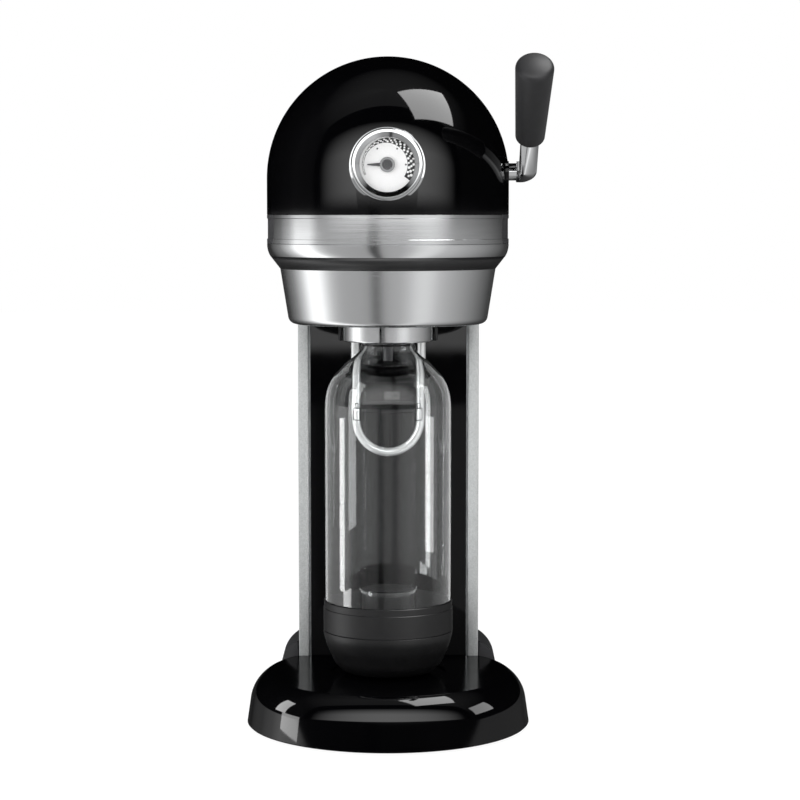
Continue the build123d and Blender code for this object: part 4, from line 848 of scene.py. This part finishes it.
# A point this close to the end keeps the shading of a long straight wall straight
WALL_STEP = 2 * MM
SLEEVE_LINE = 14.6 * MM


def shoulder_line(inset):
    """Bottle's neck root and shoulder down to the straight wall, moved in by an inset."""
    radius = bottle_high.x
    points = [(SHOULDER_TOP_RADIUS - inset, SHOULDER_TOP_Z)]
    for out, down in SHOULDER_SHARES:
        across = SHOULDER_TOP_RADIUS + out * (radius - SHOULDER_TOP_RADIUS) - inset
        points.append((across, SHOULDER_TOP_Z + down * (BOTTLE_SHOULDER_Z - SHOULDER_TOP_Z)))
    points.append((radius - inset, BOTTLE_SHOULDER_Z))
    root = [(GROOVE_RADIUS - inset, NECK_BASE_Z - inset), (ROOT_RADIUS - inset, ROOT_Z - inset)]
    wall = (radius - inset, BOTTLE_SHOULDER_Z - WALL_STEP)
    return root + through(points, SHOULDER_HEADING, DOWN, 8) + [wall]


def make_bottle():
    radius = bottle_high.x
    foot_radius = CUP_BOTTOM_RADIUS + CUP_WALL
    outer = [(0, PUNT_TOP - BOTTLE_WALL), (PUNT_RADIUS, PUNT_TOP - BOTTLE_WALL), (PUNT_RADIUS, bottle_low.z)]
    outer += [(foot_radius, bottle_low.z), (radius, CUP_SEAM_Z), (radius, CUP_SEAM_Z + WALL_STEP)]
    outer += reversed(shoulder_line(0))
    outer += [(GROOVE_RADIUS, FLANGE_BOTTOM), *eased((FLANGE_RADIUS, FLANGE_BOTTOM), IN, UP)]
    outer += [*eased((FLANGE_RADIUS, FLANGE_TOP), DOWN, IN), (NECK_RADIUS, FLANGE_TOP)]
    outer.append((NECK_RADIUS, bottle_high.z))
    bore, floor_z = NECK_RADIUS - BOTTLE_WALL, bottle_low.z + BOTTLE_WALL
    inner = [(bore, bottle_high.z), (bore, FLANGE_BOTTOM), *shoulder_line(BOTTLE_WALL)]
    inner += [(radius - BOTTLE_WALL, CUP_SEAM_Z + WALL_STEP), (radius - BOTTLE_WALL, CUP_SEAM_Z)]
    inner += [(foot_radius - BOTTLE_WALL, floor_z), (PUNT_RADIUS + BOTTLE_WALL, floor_z)]
    inner += [(PUNT_RADIUS + BOTTLE_WALL, PUNT_TOP), (0, PUNT_TOP)]
    piece = spun("bottle_look", outer + inner, closed=False)
    finished(piece, clear_plastic, ["bottle_body"], "holder")
    # Light from the lamps passes through the clear wall to what stands behind it
    unseen(piece, "shadow")


def make_cup():
    radius = bowl_high.x
    wall_radius = bottle_high.x + CUP_GAP
    points = [(CUP_BOTTOM_RADIUS, bowl_low.z)]
    for out, up in BOWL_SHARES:
        across = CUP_BOTTOM_RADIUS + out * (radius - CUP_BOTTOM_RADIUS)
        points.append((across, bowl_low.z + up * (CUP_SEAM_Z - bowl_low.z)))
    points.append((radius, CUP_SEAM_Z - EDGE_ROUND))
    post = PUNT_RADIUS - 2 * CUP_GAP
    seat_z = bottle_low.z - CUP_GAP
    outline = [(0, bowl_low.z)] + through(points, OUT, UP, 8)
    outline += [(radius - EDGE_ROUND, CUP_SEAM_Z), (wall_radius, CUP_SEAM_Z)]
    outline += [(CUP_BOTTOM_RADIUS + CUP_WALL + 2 * CUP_GAP, seat_z), (post, seat_z)]
    outline += [*eased((post, bowl_high.z), DOWN, IN), (0, bowl_high.z)]
    finished(spun("cup_bowl_look", outline, closed=False), charcoal, ["cup_bowl"], "holder")
    line_z = sleeve_low.z + SLEEVE_LINE
    outline = [
        (wall_radius, sleeve_low.z),
        *eased((radius, sleeve_low.z), IN, UP),
        (radius, line_z),
        (radius - EDGE_ROUND, line_z + EDGE_ROUND),
        (radius - EDGE_ROUND, sleeve_high.z - EDGE_ROUND),
        (radius - 2 * EDGE_ROUND, sleeve_high.z),
        (wall_radius, sleeve_high.z),
    ]
    finished(spun("cup_sleeve_look", outline), charcoal, ["cup_sleeve"], "holder")


# Fill marks on the bottle: two short level lines and a small bottle outline at each end
PRINT_DEPTH = 0.04 * MM
PRINT_LINE = 0.5 * MM
UPRIGHT_HALF_ANGLE = 0.38
FILL_HEIGHT = 208.0 * MM
MARK_HALF_ANGLE = 24.0
MARK_ASIDE = 4.5
# Outline at each end, heights in millimetres: level lines (height, half angle) and uprights (from, to,
# half angle)
MARK_LEVELS = ((-5.2, 3.4), (2.4, 3.4), (5.4, 1.4))
MARK_UPRIGHTS = ((-5.2, 2.4, 3.4), (2.4, 5.4, 1.4))


def printed_arc(name, height, start, end, line=PRINT_LINE):
    """Level printed line on the bottle between two angles from the front."""
    radius = bottle_high.x + PRINT_DEPTH
    low, high, outer = height - line / 2, height + line / 2, radius + PRINT_DEPTH
    outline = [(radius, low), (outer, low), (outer, high), (radius, high)]
    steps = max(4, int(abs(end - start)))
    piece = spun(name, outline, steps=steps, turn=end - start)
    return placed(piece, Matrix.Rotation(radians(start - 90), 4, "Z"))


def make_fill_marks():
    lines = [
        printed_arc(f"fill_line_{name}", FILL_HEIGHT, middle - MARK_HALF_ANGLE, middle + MARK_HALF_ANGLE)
        for name, middle in (("front", 0), ("back", 180))
    ]
    for side in (-1, 1):
        middle = side * (MARK_HALF_ANGLE + MARK_ASIDE)
        for number, (rise, half) in enumerate(MARK_LEVELS):
            name = f"mark_level_{side + 1}_{number}"
            lines.append(printed_arc(name, FILL_HEIGHT + rise * MM, middle - half, middle + half))
        for number, (low, high, half) in enumerate(MARK_UPRIGHTS):
            height = FILL_HEIGHT + (low + high) / 2 * MM
            for edge in (-1, 1):
                name = f"mark_upright_{side + 1}_{number}_{edge + 1}"
                angle = middle + edge * half
                ends = (angle - UPRIGHT_HALF_ANGLE, angle + UPRIGHT_HALF_ANGLE)
                lines.append(printed_arc(name, height, *ends, line=(high - low) * MM))
    finished(joined("fill_marks", lines), print_grey, body="holder")


# Gauge: bright bezel, white dial with a printed scale, needle and window
BEZEL_RADIUS = 22.0 * MM
BEZEL_BARREL = 21.3 * MM
BEZEL_OPENING = 16.8 * MM
BEZEL_CREST = 19.8 * MM
BEZEL_PROUD = 4.2 * MM
BEZEL_DEPTH = 8.0 * MM
BEZEL_LAND = 0.4 * MM
GAUGE_INNER = 19.2 * MM
WINDOW_FRONT = 2.0 * MM
DIAL_BACKSET = 0.6 * MM
FLANGE_REACH = 23.5 * MM
FLANGE_PROUD = 0.8 * MM
# In degrees, seen from the dome's centre
FLANGE_ROUND = 0.35
SCALE_DEPTH = 0.06 * MM
SCALE_RADIUS = 14.8 * MM
SCALE_HALF = 1.5 * MM
SCALE_WIDENS = 0.85 * MM
# Angles on the dial in degrees, counterclockwise from its right
SCALE_START = 205.0
SCALE_END = -35.0
BUBBLES = 57
# Shares of the band's length, then radii in millimetres
BUBBLE_START = 0.03
BUBBLE_SPAN = 0.94
BUBBLE_SIZE = 0.34
BUBBLE_GROWTH = 0.46
BUBBLE_VARIES = (0.85, 1.1, 0.95, 1.15)
BUBBLE_MARGIN = 0.15 * MM
DOT_ANGLES = (122.0, 58.0, 0.0)
DOT_RADIUS = 11.4 * MM
DOT_SIZE = 0.55 * MM
# Spots on the needle's hub: name, radius in millimetres and paint
HUB_SPOTS = (("hub_ring", 4.4, hub_grey), ("hub_cap", 3.2, needle_grey))


def on_dial(lift):
    """Matrix that stands a piece made flat at the origin on the dial, facing the front."""
    turned = Matrix.Rotation(radians(90), 4, "X")
    return Matrix.Translation(gauge_center - Vector((0, lift, 0))) @ turned


def disc(name, radius, depth, place=(0, 0), steps=24):
    """Thin printed spot with a rounded rim, lying flat."""
    begin()
    bpy.ops.mesh.primitive_cylinder_add(
        vertices=steps, radius=radius, depth=depth, location=(*place, depth / 2), enter_editmode=True
    )
    piece = named(name)
    pick(piece, lambda face: abs(face.normal.z) > 0.5, "faces")
    bpy.ops.mesh.bevel(offset=depth / 3, segments=1, affect="EDGES")
    settle()
    return piece


def make_bezel():
    outline = [
        (BEZEL_BARREL, 0),
        (BEZEL_BARREL, -BEZEL_DEPTH),
        (GAUGE_INNER, -BEZEL_DEPTH),
        (GAUGE_INNER, WINDOW_FRONT),
        (BEZEL_OPENING, WINDOW_FRONT),
        (BEZEL_OPENING, WINDOW_FRONT + BEZEL_LAND),
        (BEZEL_CREST, BEZEL_PROUD),
    ]
    crown = ((BEZEL_CREST + BEZEL_RADIUS) / 2, BEZEL_PROUD)
    outline += tangent_arc(crown, OUT, (BEZEL_RADIUS, BEZEL_PROUD / 2), 12) + [(BEZEL_RADIUS, 0)]
    ring = placed(spun("bezel_look", outline), on_dial(DIAL_BACKSET))
    # The thin flange under it follows the dome, so it is turned about the dome's centre
    skin, back = head_radius + FLANGE_PROUD, head_radius - FLANGE_PROUD
    inside, outside = (degrees(asin(reach / head_radius)) for reach in (BEZEL_BARREL, FLANGE_REACH))
    outline = arc((0, 0), skin, 90 - inside, 90 - outside + FLANGE_ROUND, 6)
    edge, rim = radians(90 - outside), skin - FLANGE_PROUD / 2
    outline.append((rim * cos(edge), rim * sin(edge)))
    outline += arc((0, 0), back, 90 - outside, 90 - inside, 6)
    lean = degrees(asin((gauge_center.z - dome_spring) / head_radius))
    place = Matrix.Translation((0, 0, dome_spring)) @ Matrix.Rotation(radians(90 - lean), 4, "X")
    flange = placed(spun("bezel_flange", outline), place)
    finished(joined("bezel_look", [ring, flange]), bezel_chrome, ["gauge_bezel"], crease=25)


def scale_edge(angle, side):
    """Place on the scale band's outer (1) or inner (-1) edge; the band widens to the right."""
    half = SCALE_HALF + SCALE_WIDENS * cos(radians(angle))
    radius = SCALE_RADIUS + side * half
    return radius * cos(radians(angle)), radius * sin(radians(angle))


def make_scale_band():
    angles = [SCALE_START + (SCALE_END - SCALE_START) * step / 72 for step in range(73)]
    edge = [scale_edge(angle, 1) for angle in angles] + [scale_edge(angle, -1) for angle in reversed(angles)]
    band = traced("scale_band", [(*place, 0) for place in edge + edge[:1]])
    mend()
    take_all()
    bpy.ops.mesh.edge_face_add()
    bpy.ops.mesh.extrude_region_move(TRANSFORM_OT_translate={"value": (0, 0, SCALE_DEPTH)})
    mend()
    settle()
    return band


def make_gauge():
    make_bezel()
    recoated("gauge_dial", dial_white)
    recoated("gauge_needle", needle_grey, "needle")
    recoated("gauge_glass", gauge_window)
    for level, (name, radius, paint) in enumerate(HUB_SPOTS):
        spot = disc(name, radius * MM, SCALE_DEPTH / 2, steps=64)
        placed(spot, on_dial(dial_low.y - needle_low.y + level * SCALE_DEPTH / 2))
        finished(spot, paint, body="needle")
    finished(placed(make_scale_band(), on_dial(0)), scale_print)
    # White bubbles grow clockwise along the band, in three rows that swing in and out
    bubbles = []
    for number in range(BUBBLES):
        share = number / (BUBBLES - 1)
        angle = radians(SCALE_START + (SCALE_END - SCALE_START) * (BUBBLE_START + BUBBLE_SPAN * share))
        size = (BUBBLE_SIZE + BUBBLE_GROWTH * share) * BUBBLE_VARIES[number % 4] * MM
        swing = SCALE_HALF + SCALE_WIDENS * cos(angle) - size - BUBBLE_MARGIN
        row = SCALE_RADIUS + max(swing, 0) * (-1, 1, 0)[number % 3]
        place = (row * cos(angle), row * sin(angle))
        bubbles.append(disc(f"bubble_{number}", size, SCALE_DEPTH / 2, place, 16))
    finished(placed(joined("scale_bubbles", bubbles), on_dial(SCALE_DEPTH)), dial_white)
    dots = []
    for number, angle in enumerate(DOT_ANGLES):
        place = (DOT_RADIUS * cos(radians(angle)), DOT_RADIUS * sin(radians(angle)))
        dots.append(disc(f"dial_dot_{number}", DOT_SIZE, SCALE_DEPTH, place))
    finished(placed(joined("dial_dots", dots), on_dial(0)), print_black)


# Lever: chrome shaft and arm with a soft grip
def make_lever():
    recoated("lever_shaft", chrome, "lever")
    recoated("lever_arm", chrome, "lever", crease=25)
    outline = [(0, GRIP_START)]
    low_middle = (GRIP_START_RADIUS - GRIP_START_ROUND, GRIP_START + GRIP_START_ROUND)
    outline += arc(low_middle, GRIP_START_ROUND, -90, 0, 8)
    high_middle = (GRIP_END_RADIUS - GRIP_END_ROUND, GRIP_END - GRIP_CROWN - GRIP_END_ROUND)
    outline += arc(high_middle, GRIP_END_ROUND, 0, GRIP_END_TURN, 10)
    heading = (-sin(radians(GRIP_END_TURN)), cos(radians(GRIP_END_TURN)))
    outline += tangent_arc(outline[-1], heading, (0, GRIP_END), 8)[1:]
    piece = spun("grip_look", outline, closed=False, steps=96)
    lean = Matrix.Rotation(radians(90 - LEVER_ANGLE), 4, "X")
    place = Matrix.Translation((ARM_X, shaft_center.y, shaft_center.z))
    placed(piece, place @ lean)
    finished(piece, grip_rubber, ["lever_grip"], "lever")


make_dome()
make_bands()
make_bulge_ring()
make_cone()
make_base()
make_column()
make_head_trim()
make_push_spring()
make_holder()
make_bow()
make_bottle()
make_cup()
make_fill_marks()
make_gauge()
make_lever()


# Floor, studio light and camera
FLOOR_SIZE = 12
FLOOR_GLOW = 1.13
FLOOR_SHARE = 0.82


def combined(tree, operation, first, second):
    """Math on a socket and another socket or a number."""
    node = add_node(tree, "Math", {"operation": operation}, {0: first})
    if isinstance(second, float):
        node.inputs[1].default_value = second
    else:
        tree.links.new(second, node.inputs[1])
    return node.outputs[0]


def mixed(tree, share, first, second):
    """The first shader where the share is 0, the second where it is 1."""
    return add_node(tree, "MixShader", None, {0: share, 1: first, 2: second}).outputs[0]


def sheet(name, material_name, size, place=(0, 0, 0), lean=0):
    """Flat sheet of the stage with a new material; returns it with the material's tree."""
    begin()
    bpy.ops.mesh.primitive_plane_add(size=1, location=place, rotation=(radians(lean), 0, 0))
    piece = named(name)
    piece.scale = (*size, 1)
    settle()
    material = bpy.data.materials.new(material_name)
    material.use_nodes = True
    piece.data.materials.append(material)
    return piece, material.node_tree


def make_floor():
    floor, tree = sheet("floor", "pale_floor", (FLOOR_SIZE, FLOOR_SIZE))
    shader = tree.nodes["Principled BSDF"]
    shader.inputs["Base Color"].default_value = srgb("#e8e8e8")
    shader.inputs["Roughness"].default_value = 0.9
    rays = add_node(tree, "LightPath").outputs
    seen = combined(tree, "MAXIMUM", rays["Is Camera Ray"], rays["Is Transmission Ray"])
    share = combined(tree, "MULTIPLY", seen, FLOOR_SHARE)
    glow = add_node(tree, "Emission", {"Color": srgb("#ffffff"), "Strength": FLOOR_GLOW})
    surface = mixed(tree, share, shader.outputs[0], glow.outputs[0])
    tree.links.new(surface, tree.nodes["Material Output"].inputs["Surface"])
    unseen(floor, "glossy", "transmission")


# What polished surfaces see all round, by angle from the front towards the lever's side
STUDIO_WALLS = (
    (-180, 0.03), (-150, 0.04), (-124, 0.3), (-108, 0.85), (-97, 1.8), (-80, 1.8), (-70, 0.95), (-60, 0.62),
    (-50, 0.53), (-31, 0.5), (-21, 0.48), (-15, 0.08), (-10, 0.12), (-5, 0.46), (4, 0.54), (13, 0.55),
    (22, 0.68), (31, 0.92), (40, 1.04), (50, 0.95), (60, 0.7), (82, 0.52), (108, 0.32), (124, 0.2),
    (148, 0.06), (180, 0.03),
)
# The walls fade just above the horizon, where a weak glow from above takes over
WALL_FADE = (-0.004, 0.002)
WALL_REST = 0.03
GLOW_AIM = (15, 65)
GLOW_SPAN = (0.5, 0.9)
GLOW_POWER = 0.25
ROOM_LIGHT = 0.6


def wall_tones(tree, around):
    """Grey ramp over the angle round the object."""
    walls = add_node(tree, "ValToRGB", links={"Fac": around})
    stops = walls.color_ramp.elements
    while len(stops) > 1:
        stops.remove(stops[-1])
    for number, (angle, tone) in enumerate(STUDIO_WALLS):
        share = angle / 360 + 0.5
        stop = stops[0] if number == 0 else stops.new(share)
        stop.position = share
        stop.color = (tone, tone, tone, 1.0)
    return walls.outputs["Color"]


def make_world():
    world = bpy.data.worlds.new("studio")
    bpy.context.scene.world = world
    world.use_nodes = True
    tree = world.node_tree
    tree.nodes.clear()
    place = add_node(tree, "TexCoord").outputs["Generated"]
    walls = wall_tones(tree, turn_share(tree, place, Rotation=(0, 0, radians(90))))
    height = add_node(tree, "SeparateXYZ", None, {"Vector": place})
    fade = ranged(tree, height.outputs["Z"], *WALL_FADE, 1.0, WALL_REST)
    studio = add_node(tree, "VectorMath", {"operation": "SCALE"}, {0: walls, "Scale": fade})
    turn, rise = (radians(angle) for angle in GLOW_AIM)
    aim = (sin(turn) * cos(rise), -cos(turn) * cos(rise), sin(rise))
    toward = add_node(tree, "VectorMath", {"operation": "DOT_PRODUCT", 1: aim}, {0: place})
    glow = ranged(tree, toward.outputs["Value"], *GLOW_SPAN, 0.0, GLOW_POWER)
    links = {0: studio.outputs["Vector"], 1: glow}
    everything = add_node(tree, "VectorMath", {"operation": "ADD"}, links)
    rays = add_node(tree, "LightPath").outputs
    behind = combined(tree, "GREATER_THAN", height.outputs["Y"], 0.0)
    passed = combined(tree, "MULTIPLY", rays["Is Transmission Ray"], behind)
    seen = combined(tree, "MAXIMUM", rays["Is Camera Ray"], passed)
    mirrored = combined(tree, "MAXIMUM", rays["Is Glossy Ray"], rays["Is Transmission Ray"])
    white = srgb("#ffffff")
    room = add_node(tree, "Background", {"Color": white, "Strength": ROOM_LIGHT})
    mirror = add_node(tree, "Background", {"Strength": 1.0}, {"Color": everything.outputs["Vector"]})
    backdrop = add_node(tree, "Background", {"Color": white, "Strength": 1.0})
    lit = mixed(tree, mirrored, room.outputs[0], mirror.outputs[0])
    shown = mixed(tree, seen, lit, backdrop.outputs[0])
    add_node(tree, "OutputWorld", None, {"Surface": shown})


def softbox(name, location, target, size, power, roll=0.0, mirrored=True, shown_in=()):
    """Rectangular lamp that faces its target; a mirrored one shows in polished surfaces.

    Where pieces are named, the lamp shows in these alone.
    """
    data = bpy.data.lights.new(name, "AREA")
    data.shape = "RECTANGLE"
    data.size, data.size_y = size
    data.energy = power
    lamp = bpy.data.objects.new(name, data)
    bpy.context.scene.collection.objects.link(lamp)
    lamp.location = location
    aim = (Vector(location) - Vector(target)).to_track_quat("Z", "Y")
    lamp.rotation_mode = "QUATERNION"
    lamp.rotation_quaternion = aim @ Matrix.Rotation(radians(roll), 3, "Z").to_quaternion()
    unseen(lamp, "camera", "diffuse" if mirrored else "glossy")
    if shown_in:
        seers = bpy.data.collections.new(name + "_seers")
        for piece in shown_in:
            seers.objects.link(bpy.data.objects[piece])
        lamp.light_linking.receiver_collection = seers


# Dome's window: place from the dome's centre, size, watts and roll
WINDOW = (Vector((0.44, -0.12, 0.80)), (0.52, 0.56), 7.6, 52)
# Narrow lamps level with what mirrors them: name, place, size and watts
STRIPS = (
    ("left_strip", (-0.3, -0.015, 0.1115), (0.06, 0.133), 0.225),
    ("left_foot_strip", (-0.3, -0.078, 0.0225), (0.095, 0.045), 0.086),
    ("right_strip", (0.3, -0.07, 0.1275), (0.104, 0.105), 0.18),
)
STRIP_PIECES = ("bottle_look", "base_look")
# Lamps that light without showing: name, place, size and watts
FILLS = (
    ("left_fill", (-1.4, -0.7, 0.8), (0.5, 1.4), 18.0),
    ("right_fill", (1.4, -0.5, 0.7), (0.4, 1.4), 5.0),
    ("front_fill", (0.3, -2.2, 1.2), (1.2, 0.8), 10.0),
)
FILL_TARGET = (0, 0, 0.2)


def make_lamps():
    dome_top = Vector((0, 0, dome_spring))
    away, size, power, roll = WINDOW
    softbox("window_softbox", dome_top + away, dome_top, size, power, roll=roll)
    for name, location, size, power in STRIPS:
        softbox(name, location, (0, *location[1:]), size, power, shown_in=STRIP_PIECES)
    for name, location, size, power in FILLS:
        softbox(name, location, FILL_TARGET, size, power, mirrored=False)


# A wide graded card in front, which only polished surfaces see
CARD_Y = -1.1
CARD_SIZE = (7.0, 3.0)
CARD_FOOT = 0.34
CARD_START = 0.03
CARD_FADE = (0.9, 1.8)
CARD_REACH = 2.6
CARD_GLOW = 3.4


def make_card():
    middle = (0, CARD_Y, CARD_FOOT + CARD_SIZE[1] / 2)
    card, tree = sheet("front_card", "graded_card", CARD_SIZE, middle, 90)
    tree.nodes.clear()
    place = add_node(tree, "TexCoord")
    parts = add_node(tree, "SeparateXYZ", None, {"Vector": place.outputs["Object"]}).outputs
    aside = add_node(tree, "Math", {"operation": "ABSOLUTE"}, {0: parts["X"]}).outputs[0]
    wide = ranged(tree, aside, 0.0, CARD_REACH, CARD_GLOW, 0.0, "SMOOTHSTEP")
    start = ranged(tree, parts["Z"], CARD_FOOT, CARD_FOOT + CARD_START, 0.0, 1.0)
    high = ranged(tree, parts["Z"], *CARD_FADE, 1.0, 0.0)
    strength = combined(tree, "MULTIPLY", wide, combined(tree, "MULTIPLY", start, high))
    light = add_node(tree, "Emission", {"Color": srgb("#ffffff")}, {"Strength": strength})
    add_node(tree, "OutputMaterial", None, {"Surface": light.outputs[0]})
    unseen(card, "camera", "diffuse", "shadow", "transmission")


CAMERA_PLACE = Vector((7.8 * MM, -1432 * MM, 334 * MM))
CAMERA_AIM = Vector((7.8 * MM, 0, 212.6 * MM))
CAMERA_LENS = 99.4


def make_camera():
    data = bpy.data.cameras.new("camera")
    data.lens = CAMERA_LENS
    data.sensor_width = 36.0
    data.clip_start = 0.1
    data.clip_end = 30
    camera = bpy.data.objects.new("camera", data)
    bpy.context.scene.collection.objects.link(camera)
    camera.location = CAMERA_PLACE
    camera.rotation_mode = "QUATERNION"
    camera.rotation_quaternion = (CAMERA_AIM - CAMERA_PLACE).to_track_quat("-Z", "Y")
    bpy.context.scene.camera = camera


make_floor()
make_world()
make_card()
make_lamps()
make_camera()
bpy.context.scene.view_settings.view_transform = "Standard"
